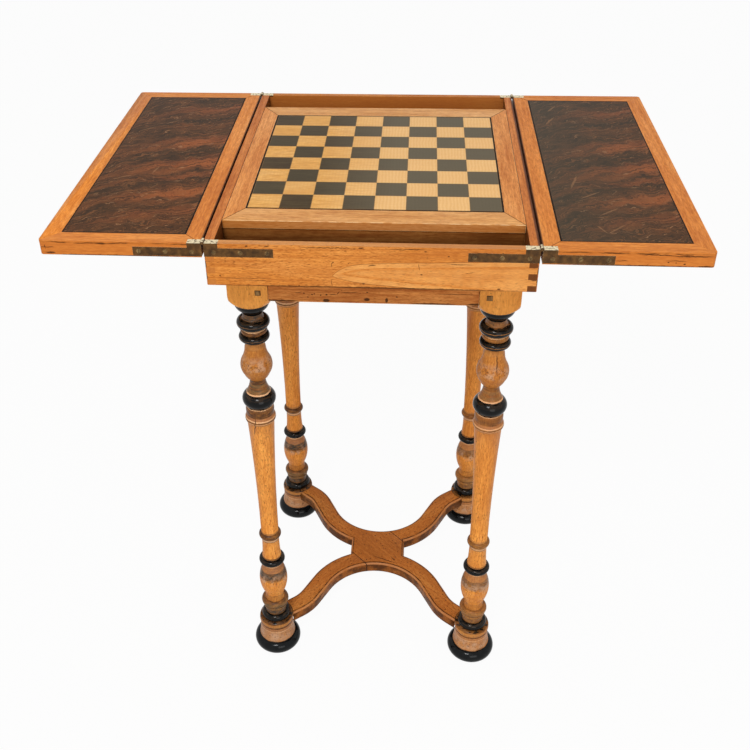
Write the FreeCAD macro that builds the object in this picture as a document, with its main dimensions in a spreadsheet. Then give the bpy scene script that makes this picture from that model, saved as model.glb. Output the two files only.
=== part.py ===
"""Chess table with inlaid board: a folding games table on a turned stand.

Units are millimetres. +X is to the right of a player who sits at the front, +Y is away from that
player and +Z is up. The origin is on the floor under the middle of the table. The two leaves lie open.
"""
import FreeCAD, Part
import math
import os
import re
import Sketcher

# ----------------------------------------------------------------------------------------------
# Driving dimensions
# ----------------------------------------------------------------------------------------------

SIZES = {
    # the whole table
    "top_height": (732, "playing surface above the floor"),
    # case
    "case_width": (357, "case along X, outside"),
    "case_depth": (466, "case and leaves along Y, outside"),
    "case_tall": (51, "case boards along Z"),
    "side_wall": (10.5, "thickness of the left and right boards"),
    "end_wall": (9, "thickness of the front and back boards"),
    "corner_round": (2, "worn radius of the case's upright corners"),
    "bottom_thick": (7, "bottom panel"),
    "divider_thick": (8, "wall between a well and the board's compartment"),
    "divider_setback": (1.5, "the board's edge overhangs its divider by this much"),
    "ledge_wide": (8, "batten that carries the board's sides"),
    "ledge_tall": (10, "height of that batten"),
    # chess board
    "square": (36, "side of one square"),
    "board_string": (2, "width of the dark line round the squares"),
    "board_end_rail": (31, "board rails at the front and back"),
    "board_thick": (10, "board, veneer and core together"),
    "board_clear": (0.3, "play between the board and the side walls"),
    "veneer": (1.2, "thickness of squares, stringing and leaf veneer"),
    # leaves
    "leaf_thick": (17, "leaf along Z"),
    "leaf_rail": (20, "width of a leaf's frame rails"),
    "leaf_string": (1.5, "width of the dark line round the leaf veneer"),
    "leaf_corner": (4, "radius of a leaf's outer corners"),
    "leaf_meet": (1.4, "gap between the two leaves when both are closed"),
    # hinges
    "hinge_gap": (2.4, "gap between the case and an open leaf"),
    "plate_thick": (1.8, "brass plate"),
    "strap_long": (75, "strap along X, from the edge of the wood"),
    "strap_wide": (10.5, "strap along Z"),
    "strap_drop": (5.5, "top surface to the strap's upper edge"),
    "cheek_wide": (15.5, "end of the plate that rises to the top surface"),
    "tab_deep": (9, "tab on the top surface, along Y"),
    "knuckle_radius": (1.9, "barrel on the hinge line"),
    "pin_radius": (0.9, "hinge pin"),
    "pin_clear": (0.05, "running clearance of the pin in the leaf's knuckle"),
    "knuckle_clear": (0.2, "clearance round and between the knuckles"),
    # hinge screws
    "screw_first": (10.5, "first screw from the edge of the wood"),
    "screw_pitch": (29, "spacing of the screws along a strap"),
    "screw_head_radius": (2.6, "screw head"),
    "screw_head_tall": (1, "thickness of a screw head"),
    "screw_shank_radius": (1.1, "screw shank"),
    "screw_long": (8.2, "screw, head and shank together"),
    "screw_clear": (0.05, "play round a screw"),
    "slot_wide": (0.7, "driver slot"),
    "slot_deep": (0.5, "depth of the driver slot"),
    # stand
    "leg_spread": (147.3, "leg axis from the middle, along X and along Y"),
    "block_half": (24, "half the side of a leg's square block"),
    "block_tall": (45, "straight part of the block"),
    "shoulder_tall": (25, "rounded shoulder under the block"),
    "apron_tall": (58, "apron along Z"),
    "apron_thick": (18, "apron"),
    "apron_setback": (2, "apron's face behind the face of the block"),
    "tenon_thick": (8, "apron tenon"),
    "tenon_long": (20, "length of a tenon in its block"),
    "tenon_top_shoulder": (6, "apron above the tenon"),
    "tenon_foot_shoulder": (4, "apron below the tenon"),
    "tenon_inset": (5, "apron's face to the tenon's cheek"),
    "mortise_clear": (0.5, "mortise deeper than the tenon is long"),
    "peg_side": (7, "square oak peg"),
    "peg_long": (18, "length of a peg"),
    "peg_proud": (0.5, "a peg stands this much out of its block"),
    "peg_in": (12.5, "peg from the leg's axis, towards the apron"),
    "peg_drop": (46, "peg below the case"),
    "stand_screw_radius": (2.2, "screw that holds the case on a leg"),
    "stand_screw_long": (36, "length of that screw"),
    "stand_head_radius": (4.5, "its head"),
    "stand_head_tall": (3, "thickness of its head"),
    # curves that several turnings share
    "small_hollow": (0.8, "depth of the small hollow curves"),
    "cove_hollow": (1.2, "depth of the cove under the cap"),
    "cup_hollow": (1.5, "depth of the hollow flare of the cup"),
    "shoulder_swell": (4, "swell of the shoulder under the block"),
    "saw_spare": (0.1, "round blank larger than the block's corners"),
    # turnings of the upper leg, from the shoulder down
    "shoulder_radius": (21.5, "foot of the shoulder"),
    "cap_tall": (8.5, "ebonised cap under the shoulder"),
    "cap_radius": (18.5, "lower edge of the cap"),
    "cap_swell": (1, "swell of the cap"),
    "cove_tall": (7.5, "cove under the cap"),
    "cove_radius": (12.4, "waist of the cove"),
    "lip_tall": (7.5, "flare between the cove and the upper ring"),
    "upper_ring_tall": (12.5, "ebonised upper ring"),
    "upper_ring_radius": (20.6, "its crest"),
    "ring_seat_radius": (13.8, "where the upper rings meet the bare leg"),
    "collar_tall": (9.5, "plain collar between the upper rings"),
    "collar_radius": (16.7, "its crest"),
    "second_ring_tall": (9.5, "ebonised second ring"),
    "second_ring_radius": (19.2, "its crest"),
    "neck_tall": (10.5, "neck over the vase"),
    "neck_radius": (13.1, "thinnest part of that neck"),
    "vase_shoulder_tall": (15.5, "hollow curve over the vase"),
    "vase_tall": (23.5, "round belly of the vase"),
    "vase_radius": (20.3, "its crest"),
    "vase_seat_radius": (16.9, "where the belly meets the curves over and under it"),
    "vase_foot_tall": (10, "curve under the belly"),
    "vase_foot_swell": (0.8, "swell of that curve"),
    "waist_radius": (10, "waist under the vase"),
    "cup_tall": (20.5, "cup over the ball"),
    "cup_radius": (16.2, "rim of the cup"),
    "ball_tall": (20, "ebonised ball"),
    "ball_radius": (21.7, "its crest"),
    "ball_seat_radius": (15.5, "poles of the ball"),
    "first_collar_tall": (14.5, "collar under the ball"),
    "first_collar_radius": (18.4, "its crest"),
    "second_collar_tall": (11.5, "collar on the shaft"),
    "second_collar_radius": (20, "its crest"),
    "shaft_top_radius": (17.6, "top of the shaft"),
    "shaft_hollow": (1.3, "hollow of the tapered shaft"),
    # turnings of the lower leg, from the foot up
    "foot_tall": (20.5, "separate ebonised foot"),
    "foot_radius": (34.5, "its crest"),
    "foot_rest_radius": (27, "flat that stands on the floor"),
    "spigot_radius": (10, "leg's spigot in the foot"),
    "spigot_long": (13, "length of that spigot"),
    "spigot_clear": (0.05, "play of the spigot in the foot"),
    "bell_tall": (26, "bell-shaped drum over the foot"),
    "bell_foot_radius": (27, "drum at the foot"),
    "bell_top_radius": (24.4, "drum under the rim"),
    "groove_tall": (1.5, "groove under the rim"),
    "groove_radius": (23.6, "bottom of the groove"),
    "rim_tall": (10, "rim of the drum"),
    "rim_radius": (25.3, "its crest"),
    "rim_seat_radius": (24.3, "edges of the rim"),
    "base_ring_tall": (11.5, "ebonised ring on the drum"),
    "base_ring_radius": (21, "its crest"),
    "base_ring_seat": (16.5, "its edges"),
    "base_neck_tall": (9, "neck over the ring"),
    "base_neck_radius": (15.4, "radius of that neck"),
    "bead_tall": (7, "plain bead"),
    "bead_radius": (17.5, "its crest"),
    "low_ring_tall": (11.5, "dark ring under the bulb"),
    "low_ring_radius": (19.9, "its crest"),
    "bulb_neck_tall": (14, "neck under the bulb"),
    "bulb_neck_radius": (14.5, "radius of that neck"),
    "bulb_tall": (52, "bulb"),
    "bulb_radius": (20.3, "its crest"),
    "bulb_top_tall": (7.5, "neck over the bulb"),
    "ankle_ring_tall": (10, "ebonised ankle ring"),
    "ankle_ring_radius": (18.6, "its crest"),
    "ankle_neck_tall": (40, "tapered neck over the ankle ring"),
    "ankle_neck_radius": (14, "its lower end"),
    "shaft_ring_tall": (9.5, "ring at the foot of the shaft"),
    "shaft_ring_radius": (15.7, "its crest"),
    "shaft_foot_radius": (12.3, "foot of the shaft"),
    # stretcher
    "stretcher_thick": (17, "serpentine stretcher along Z"),
    "stretcher_drop": (0.8, "stretcher's top below the drum's top"),
    "arm_wide": (30, "width of an arm"),
    "hub_half_width": (43, "middle to the flat sides of the hub"),
    "hub_half_depth": (37.5, "middle to the front and back of the hub"),
    "inner_bend": (95, "arm's centre line round the hub"),
    "bend_angle": (63, "heading of the arm between its two bends"),
    "arm_straight": (33, "straight run between the two bends"),
    "outer_bend": (60, "arm's centre line towards the leg"),
    "scribe_clear": (0.1, "gap between an arm and the drum"),
    "arm_tenon_wide": (15, "tenon of an arm in the drum"),
    "arm_tenon_tall": (9, "height of that tenon"),
    "arm_tenon_end": (11, "end of the tenon from the leg's axis"),
    "tenon_root": (8, "stretch of the tenon inside its own arm, past the rim of the drum"),
    "lap_reach": (12, "end of the half-lap's joint line from the middle of the hub, along X"),
    "arm_round": (5, "moulded upper edge of the stretcher"),
}

# Places that several pieces share; each row can use the ones above it
DERIVED = {
    "half_width": ("case_width/2", "case's outer face along X"),
    "half_depth": ("case_depth/2", "case's outer face along Y"),
    "inside_x": ("half_width - side_wall", "inner face of the side boards"),
    "inside_y": ("half_depth - end_wall", "inner face of the front and back boards"),
    "case_foot": ("top_height - case_tall", "underside of the case"),
    "hinge_x": ("half_width + hinge_gap/2", "hinge line"),
    "leaf_inner": ("half_width + hinge_gap", "inner edge of an open leaf"),
    "leaf_outer": ("case_width + hinge_gap - leaf_meet/2", "outer edge of an open leaf"),
    "field": ("4*square", "edge of the squares"),
    "inlay": ("field + board_string", "edge of the stringing"),
    "board_x": ("inside_x - board_clear", "side of the chess board"),
    "board_y": ("inlay + board_end_rail", "front of the chess board"),
    "board_foot": ("top_height - board_thick", "underside of the chess board"),
    "divider_y": ("board_y - divider_setback", "divider's face in the well"),
    "strap_top": ("top_height - strap_drop", "upper edge of the straps"),
    "strap_foot": ("strap_top - strap_wide", "lower edge of the straps"),
    "strap_middle": ("strap_top - strap_wide/2", "level of the hinge screws"),
    "blank_radius": ("sqrt(2)*block_half + saw_spare", "round that the block is sawn from"),
    "drum_top": ("foot_tall + bell_tall + groove_tall + rim_tall", "top of the drum"),
    "stretcher_top": ("drum_top - stretcher_drop", "upper face of the stretcher"),
    "stretcher_foot": ("stretcher_top - stretcher_thick", "lower face of the stretcher"),
    "bend_centre": ("hub_half_depth + inner_bend - arm_wide/2", "centre of the inner bend, along Y"),
    "bend_x": ("inner_bend*sin(bend_angle)", "end of the inner bend"),
    "bend_y": ("bend_centre - inner_bend*cos(bend_angle)", "end of the inner bend"),
    "run_x": ("bend_x + arm_straight*cos(bend_angle)", "end of the straight run"),
    "run_y": ("bend_y + arm_straight*sin(bend_angle)", "end of the straight run"),
    "turn_x": ("run_x + outer_bend*sin(bend_angle)", "centre of the outer bend"),
    "turn_y": ("run_y - outer_bend*cos(bend_angle)", "centre of the outer bend"),
    "leg_away": ("sqrt((leg_spread - turn_x)^2 + (leg_spread - turn_y)^2)", "that centre to the leg's axis"),
    "arm_heading": ("(atan2(leg_spread - turn_y; leg_spread - turn_x) - asin(outer_bend/leg_away))/(1deg)",
                    "heading of the arm at the leg"),
    "flank_heading": ("asin(hub_half_width/(inner_bend + arm_wide/2))/(1deg)",
                      "heading of the arm's inner edge at the hub's corner"),
    "lap_heading": ("asin(lap_reach/(inner_bend - arm_wide/2))/(1deg)",
                    "heading of the hub's edge at the end of the half-lap"),
}

FINGERS = 7                 # fingers in each corner joint, from the bottom edge to the top edge
RANKS = 8                   # squares along each side of the chess board
SCREWS_PER_STRAP = 3
SLOT_TURN = 37              # degrees between the slots of neighbouring screws
SIDES = {"left": -1, "right": 1}
ENDS = {"front": -1, "back": 1}
CORNERS = [("front_left", -1, -1, 0), ("front_right", 1, -1, 90), ("back_right", 1, 1, 180),
           ("back_left", -1, 1, 270)]
QUARTER_BULGE = 1 - math.cos(math.radians(45))      # rise of a quarter circle of radius 1
EIGHTH_BULGE = 1 - math.cos(math.radians(22.5))     # rise of an eighth of a circle of radius 1

doc = FreeCAD.newDocument("chess_table")
dims = doc.addObject("Spreadsheet::Sheet", "dims")
for row, (alias, (content, note)) in enumerate([*SIZES.items(), *DERIVED.items()], start=1):
    dims.set(f"A{row}", note)
    dims.set(f"B{row}", str(content) if alias in SIZES else f"={content}")
    dims.setAlias(f"B{row}", alias)
doc.recompute()

PIECES = []                 # every object that is written as a node


def ref(text):
    """An expression with each of the sheet's aliases written as dims.alias."""
    return re.sub(r"[a-z][a-z_]*",
                  lambda word: ("dims." if word.group() in SIZES or word.group() in DERIVED else "")
                  + word.group(), str(text))


def value(text):
    """The number that an expression over the sheet gives now."""
    return float(dims.evalExpression(ref(text)))


def bind(thing, **settings):
    """Binds properties to expressions; two underscores in a name stand for a dot."""
    for name, text in settings.items():
        thing.setExpression(name.replace("__", "."), ref(text))


def place(thing, x="0", y="0", z="0", turn="0"):
    """Puts an object at a bound place, turned about Z."""
    thing.Placement.Rotation = FreeCAD.Rotation(FreeCAD.Vector(0, 0, 1), 1)
    bind(thing, Placement__Base__x=x, Placement__Base__y=y, Placement__Base__z=z,
         Placement__Rotation__Angle=turn)


# ----------------------------------------------------------------------------------------------
# Sketches and features
# ----------------------------------------------------------------------------------------------

def new_body(label):
    body = doc.addObject("PartDesign::Body", label)
    body.Label = label
    PIECES.append(body)
    return body


def sketch_on(body, role, height="0"):
    """An empty sketch on one of the body's origin planes, moved along the plane's normal."""
    plane = next(item for item in body.Origin.OriginFeatures if item.Role == role)
    sketch = body.newObject("Sketcher::SketchObject", "sketch")
    sketch.AttachmentSupport = (plane, "")
    sketch.MapMode = "FlatFace"
    bind(sketch, AttachmentOffset__Base__z=height)
    return sketch


def constrain(sketch, kind, *place_and_number, text):
    number = value(text)
    index = sketch.addConstraint(Sketcher.Constraint(kind, *place_and_number, number))
    bind(sketch, **{f"Constraints[{index}]": text})


def mirrored(points, side, end=1):
    """The same outline on the other side of the middle plane, where side or end is -1."""
    return [(f"{side}*({x})", f"{end}*({y})", *[f"{side * end}*({rise})" for rise in arc])
            for x, y, *arc in points]


def draw(sketch, points):
    """Draws a closed outline of (x, y) corners. A third term is how far the edge that follows bulges,
    to the right of its own direction, so positive is outwards on an anticlockwise outline."""
    first = sketch.GeometryCount
    count = len(points)
    corners = [(value(point[0]), value(point[1])) for point in points]
    starts = []
    for index, point in enumerate(points):
        start = FreeCAD.Vector(*corners[index], 0)
        finish = FreeCAD.Vector(*corners[(index + 1) % count], 0)
        rise = value(point[2]) if len(point) > 2 else 0
        if rise:
            chord = finish - start
            radius = (chord.Length ** 2 / 4 + rise ** 2) / (2 * abs(rise))
            left = FreeCAD.Vector(-chord.y, chord.x, 0).normalize()
            centre = (start + finish) / 2 + left * (radius - abs(rise)) * math.copysign(1, rise)
            circle = Part.Circle(centre, FreeCAD.Vector(0, 0, 1), radius)
            ends = [math.atan2(corner.y - centre.y, corner.x - centre.x) for corner in (start, finish)]
            if rise < 0:
                ends.reverse()
            sketch.addGeometry(Part.ArcOfCircle(circle, *ends))
            starts.append(1 if rise > 0 else 2)
        else:
            sketch.addGeometry(Part.LineSegment(start, finish))
            starts.append(1)
    for index, point in enumerate(points):
        edge = first + index
        following = first + (index + 1) % count
        sketch.addConstraint(Sketcher.Constraint("Coincident", edge, 3 - starts[index],
                                                 following, starts[(index + 1) % count]))
    for index, point in enumerate(points):
        edge = first + index
        constrain(sketch, "DistanceX", -1, 1, edge, starts[index], text=point[0])
        constrain(sketch, "DistanceY", -1, 1, edge, starts[index], text=point[1])
        if len(point) > 2 and value(point[2]):
            ahead = points[(index + 1) % count]
            chord_squared = f"(({ahead[0]}) - ({point[0]}))^2 + (({ahead[1]}) - ({point[1]}))^2"
            constrain(sketch, "Radius", edge,
                      text=f"(({chord_squared})/4 + ({point[2]})^2)/(2*abs({point[2]}))")


def draw_rectangle(sketch, left, low, right, high):
    draw(sketch, [(left, low), (right, low), (right, high), (left, high)])


def draw_circle(sketch, x, y, radius):
    centre = FreeCAD.Vector(value(x), value(y), 0)
    edge = sketch.addGeometry(Part.Circle(centre, FreeCAD.Vector(0, 0, 1), value(radius)))
    constrain(sketch, "DistanceX", -1, 1, edge, 3, text=x)
    constrain(sketch, "DistanceY", -1, 1, edge, 3, text=y)
    constrain(sketch, "Radius", edge, text=radius)


def pad(body, sketch, length, down=False):
    """Adds material along the sketch's normal, or against it where down is set."""
    feature = body.newObject("PartDesign::Pad", "pad")
    feature.Profile = sketch
    feature.Reversed = down
    bind(feature, Length=length)
    doc.recompute()
    return feature


def pocket(body, sketch, length, up=False):
    """Cuts against the sketch's normal, or along it where up is set, and makes sure that it cuts."""
    before = body.Shape.Volume
    feature = body.newObject("PartDesign::Pocket", "pocket")
    feature.Profile = sketch
    feature.Reversed = up
    bind(feature, Length=length)
    doc.recompute()
    if body.Shape.Volume > before - 1e-3:
        raise RuntimeError(f"a pocket in {body.Label} cuts nothing")
    return feature


def revolve(body, sketch):
    feature = body.newObject("PartDesign::Revolution", "revolution")
    feature.Profile = sketch
    feature.ReferenceAxis = (sketch, ["V_Axis"])
    feature.Angle = 360
    doc.recompute()
    return feature


def box(label, low, size, piece=True):
    """A plain board or strip: its lowest corner and its three sizes, all bound."""
    solid = doc.addObject("Part::Box", label)
    solid.Label = label
    bind(solid, Length=size[0], Width=size[1], Height=size[2])
    place(solid, *low)
    if piece:
        PIECES.append(solid)
    return solid


def group(label, members):
    """Identical small parts that share one node."""
    compound = doc.addObject("Part::Compound", label)
    compound.Label = label
    compound.Links = members
    PIECES.append(compound)
    return compound


# ----------------------------------------------------------------------------------------------
# Hinge seats: what the plates and their screws take out of the wood
# ----------------------------------------------------------------------------------------------

def wood_edge(side, leaf):
    """X of the edge that faces the hinge line, and the direction from there into the wood."""
    return (f"{side}*leaf_inner", side) if leaf else (f"{side}*half_width", -side)


def screw_places(side, leaf):
    """X of the screws in a plate on the case or on a leaf."""
    edge, inward = wood_edge(side, leaf)
    return [f"{edge} + {inward}*(screw_first + {number}*screw_pitch)" for number in range(SCREWS_PER_STRAP)]


def plate_span(side, leaf, reach):
    """Low and high X of a stretch of plate that starts at the edge of the wood."""
    edge, inward = wood_edge(side, leaf)
    far = f"{edge} + {inward}*{reach}"
    return (edge, far) if inward > 0 else (far, edge)


def face_height(end):
    """How far a sketch on the XZ plane is moved so that it lies in the front or back face."""
    return f"{-end}*half_depth"


def cut_hinge_seat(body, side, end, leaf, strap=True, screws=True):
    """Lets one plate flush into a board: its face, its tab and the pilot holes of its screws."""
    inward = end > 0
    if strap:
        sketch = sketch_on(body, "XZ_Plane", face_height(end))
        low, high = plate_span(side, leaf, "strap_long")
        draw_rectangle(sketch, low, "strap_foot", high, "strap_top")
        pocket(body, sketch, "plate_thick", up=inward)
    sketch = sketch_on(body, "XZ_Plane", face_height(end))
    low, high = plate_span(side, leaf, "cheek_wide")
    draw_rectangle(sketch, low, "strap_foot", high, "top_height")
    pocket(body, sketch, "plate_thick", up=inward)
    sketch = sketch_on(body, "XY_Plane", "top_height")
    edge = f"{end}*half_depth"
    draw_rectangle(sketch, low, edge, high, f"{edge} - ({end})*tab_deep")
    pocket(body, sketch, "plate_thick")
    if screws:
        sketch = sketch_on(body, "XZ_Plane", face_height(end))
        for x in screw_places(side, leaf):
            draw_circle(sketch, x, "strap_middle", "screw_shank_radius + screw_clear")
        pocket(body, sketch, "screw_long + screw_clear", up=inward)


# ----------------------------------------------------------------------------------------------
# Case
# ----------------------------------------------------------------------------------------------

def finger_level(number):
    return f"case_foot + {number}*case_tall/{FINGERS}"


def cut_fingers(body, role, height, spans, levels, depth):
    """Takes the sockets of a corner joint out of a board: spans are low and high along the board."""
    sketch = sketch_on(body, role, height)
    for low, high in spans:
        for level in levels:
            draw_rectangle(sketch, low, finger_level(level), high, finger_level(level + 1))
    pocket(body, sketch, depth)


def make_case_end(name, end):
    """Front or back board. Its odd fingers run through to the case's sides."""
    body = new_body(f"case_{name}")
    sketch = sketch_on(body, "XY_Plane", "top_height")
    bulge = f"{QUARTER_BULGE}*corner_round"
    draw(sketch, mirrored([
        ("-half_width + corner_round", "-half_depth"),
        ("half_width - corner_round", "-half_depth", bulge),
        ("half_width", "-half_depth + corner_round"),
        ("half_width", "-inside_y"),
        ("-half_width", "-inside_y"),
        ("-half_width", "-half_depth + corner_round", bulge)], 1, -end))
    pad(body, sketch, "case_tall", down=True)
    spans = [("-half_width", "-inside_x"), ("inside_x", "half_width")]
    outer_face = "half_depth" if end < 0 else "-inside_y"
    cut_fingers(body, "XZ_Plane", outer_face, spans, range(0, FINGERS, 2), "end_wall")
    for side in SIDES.values():
        cut_hinge_seat(body, side, end, leaf=False)


def make_case_side(name, side):
    """Left or right board. Its even fingers run through to the case's front and back."""
    body = new_body(f"case_{name}")
    sketch = sketch_on(body, "XY_Plane", "top_height")
    bulge = f"{QUARTER_BULGE}*corner_round"
    draw(sketch, mirrored([
        ("inside_x", "-half_depth"),
        ("half_width - corner_round", "-half_depth", bulge),
        ("half_width", "-half_depth + corner_round"),
        ("half_width", "half_depth - corner_round", bulge),
        ("half_width - corner_round", "half_depth"),
        ("inside_x", "half_depth")], side))
    pad(body, sketch, "case_tall", down=True)
    spans = [("-half_depth", "-inside_y"), ("inside_y", "half_depth")]
    outer_face = "half_width" if side > 0 else "-inside_x"
    cut_fingers(body, "YZ_Plane", outer_face, spans, range(1, FINGERS, 2), "side_wall")
    for end in ENDS.values():
        cut_hinge_seat(body, side, end, leaf=False, strap=False, screws=False)


def make_case_bottom():
    """Bottom panel inside the four boards, bored for the screws that hold the case on the legs."""
    body = new_body("case_bottom")
    sketch = sketch_on(body, "XY_Plane", "case_foot")
    draw_rectangle(sketch, "-inside_x", "-inside_y", "inside_x", "inside_y")
    pad(body, sketch, "bottom_thick")
    sketch = sketch_on(body, "XY_Plane", "case_foot + bottom_thick")
    seat = sketch_on(body, "XY_Plane", "case_foot + bottom_thick")
    for _, side, end, _ in CORNERS:
        draw_circle(sketch, f"{side}*leg_spread", f"{end}*leg_spread", "stand_screw_radius + screw_clear")
        draw_circle(seat, f"{side}*leg_spread", f"{end}*leg_spread", "stand_head_radius + screw_clear")
    pocket(body, sketch, "bottom_thick")
    pocket(body, seat, "stand_head_tall")


def make_case_fittings():
    """Dividers that close the two wells, and ledges that carry the board's sides."""
    floor = "case_foot + bottom_thick"
    tall = f"board_foot - ({floor})"
    for name, end in ENDS.items():
        low = f"{end}*divider_y" if end < 0 else "divider_y - divider_thick"
        box(f"{name}_divider", ("-inside_x", low, floor), ("2*inside_x", "divider_thick", tall))
    between = "(divider_y - divider_thick)"
    for name, side in SIDES.items():
        low = "-inside_x" if side < 0 else "inside_x - ledge_wide"
        box(f"board_ledge_{name}", (low, f"-{between}", "board_foot - ledge_tall"),
            ("ledge_wide", f"2*{between}", "ledge_tall"))


# ----------------------------------------------------------------------------------------------
# Chess board
# ----------------------------------------------------------------------------------------------

def make_chess_board():
    """Core, four mitred rails, stringing and sixty-four squares; the far left corner square is dark."""
    under = "top_height - veneer"
    box("board_core", ("-inlay", "-inlay", "board_foot"),
        ("2*inlay", "2*inlay", "board_thick - veneer"))
    for name, end in ENDS.items():
        body = new_body(f"board_rail_{name}")
        sketch = sketch_on(body, "XY_Plane", "board_foot")
        draw(sketch, mirrored([("-board_x", "-board_y"), ("board_x", "-board_y"),
                               ("inlay", "-inlay"), ("-inlay", "-inlay")], 1, -end))
        pad(body, sketch, "board_thick")
    for name, side in SIDES.items():
        body = new_body(f"board_rail_{name}")
        sketch = sketch_on(body, "XY_Plane", "board_foot")
        draw(sketch, mirrored([("inlay", "-inlay"), ("board_x", "-board_y"),
                               ("board_x", "board_y"), ("inlay", "inlay")], side))
        pad(body, sketch, "board_thick")
    strips = []
    for sign in (-1, 1):
        across = "-inlay" if sign < 0 else "field"
        strips.append(box("string_end", ("-inlay", across, under), ("2*inlay", "board_string", "veneer"),
                          piece=False))
        strips.append(box("string_side", (across, "-field", under), ("board_string", "2*field", "veneer"),
                          piece=False))
    group("board_stringing", strips)
    squares = {"dark": [], "light": []}
    for file in range(RANKS):
        for rank in range(RANKS):
            tone = "light" if (file + rank) % 2 == 0 else "dark"
            low = (f"{file}*square - field", f"{rank}*square - field", under)
            squares[tone].append(box("square", low, ("square", "square", "veneer"), piece=False))
    for tone, tiles in squares.items():
        group(f"{tone}_squares", tiles)


# ----------------------------------------------------------------------------------------------
# Leaves
# ----------------------------------------------------------------------------------------------

def make_leaf(name, side):
    """One leaf, open: four mitred rails round a core panel, with stringing and a figured veneer."""
    bulge = f"{EIGHTH_BULGE}*leaf_corner"
    inset = f"{QUARTER_BULGE}*leaf_corner"
    for end_name, end in ENDS.items():
        body = new_body(f"{name}_leaf_rail_{end_name}")
        sketch = sketch_on(body, "XY_Plane", "top_height")
        draw(sketch, mirrored([
            ("leaf_inner", "-half_depth"),
            ("leaf_outer - leaf_corner", "-half_depth", bulge),
            (f"leaf_outer - {inset}", f"-half_depth + {inset}"),
            ("leaf_outer - leaf_rail", "-half_depth + leaf_rail"),
            ("leaf_inner + leaf_rail", "-half_depth + leaf_rail")], side, -end))
        pad(body, sketch, "leaf_thick", down=True)
        cut_hinge_seat(body, side, end, leaf=True)
    body = new_body(f"{name}_leaf_rail_outer")
    sketch = sketch_on(body, "XY_Plane", "top_height")
    draw(sketch, mirrored([
        (f"leaf_outer - {inset}", f"-half_depth + {inset}", bulge),
        ("leaf_outer", "-half_depth + leaf_corner"),
        ("leaf_outer", "half_depth - leaf_corner", bulge),
        (f"leaf_outer - {inset}", f"half_depth - {inset}"),
        ("leaf_outer - leaf_rail", "half_depth - leaf_rail"),
        ("leaf_outer - leaf_rail", "-half_depth + leaf_rail")], side))
    pad(body, sketch, "leaf_thick", down=True)
    body = new_body(f"{name}_leaf_rail_inner")
    sketch = sketch_on(body, "XY_Plane", "top_height")
    draw(sketch, mirrored([
        ("leaf_inner", "-half_depth"),
        ("leaf_inner + leaf_rail", "-half_depth + leaf_rail"),
        ("leaf_inner + leaf_rail", "half_depth - leaf_rail"),
        ("leaf_inner", "half_depth")], side))
    pad(body, sketch, "leaf_thick", down=True)
    for end in ENDS.values():
        cut_hinge_seat(body, side, end, leaf=True, strap=False, screws=False)

    inner = "(leaf_inner + leaf_rail)"
    outer = "(leaf_outer - leaf_rail)"
    wide = f"({outer} - {inner})"
    deep = "(case_depth - 2*leaf_rail)"
    low_x = inner if side > 0 else f"-{outer}"
    low_y = "leaf_rail - half_depth"
    under = "top_height - veneer"
    box(f"{name}_leaf_panel", (low_x, low_y, "top_height - leaf_thick"), (wide, deep, "leaf_thick - veneer"))
    strips = [
        box("string_front", (low_x, low_y, under), (wide, "leaf_string", "veneer"), piece=False),
        box("string_back", (low_x, "half_depth - leaf_rail - leaf_string", under),
            (wide, "leaf_string", "veneer"), piece=False)]
    for low in (low_x, f"{low_x} + {wide} - leaf_string"):
        strips.append(box("string_side", (low, f"{low_y} + leaf_string", under),
                          ("leaf_string", f"{deep} - 2*leaf_string", "veneer"), piece=False))
    group(f"{name}_leaf_stringing", strips)
    box(f"{name}_leaf_burl", (f"{low_x} + leaf_string", f"{low_y} + leaf_string", under),
        (f"{wide} - 2*leaf_string", f"{deep} - 2*leaf_string", "veneer"))


# ----------------------------------------------------------------------------------------------
# Hinges
# ----------------------------------------------------------------------------------------------

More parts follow.
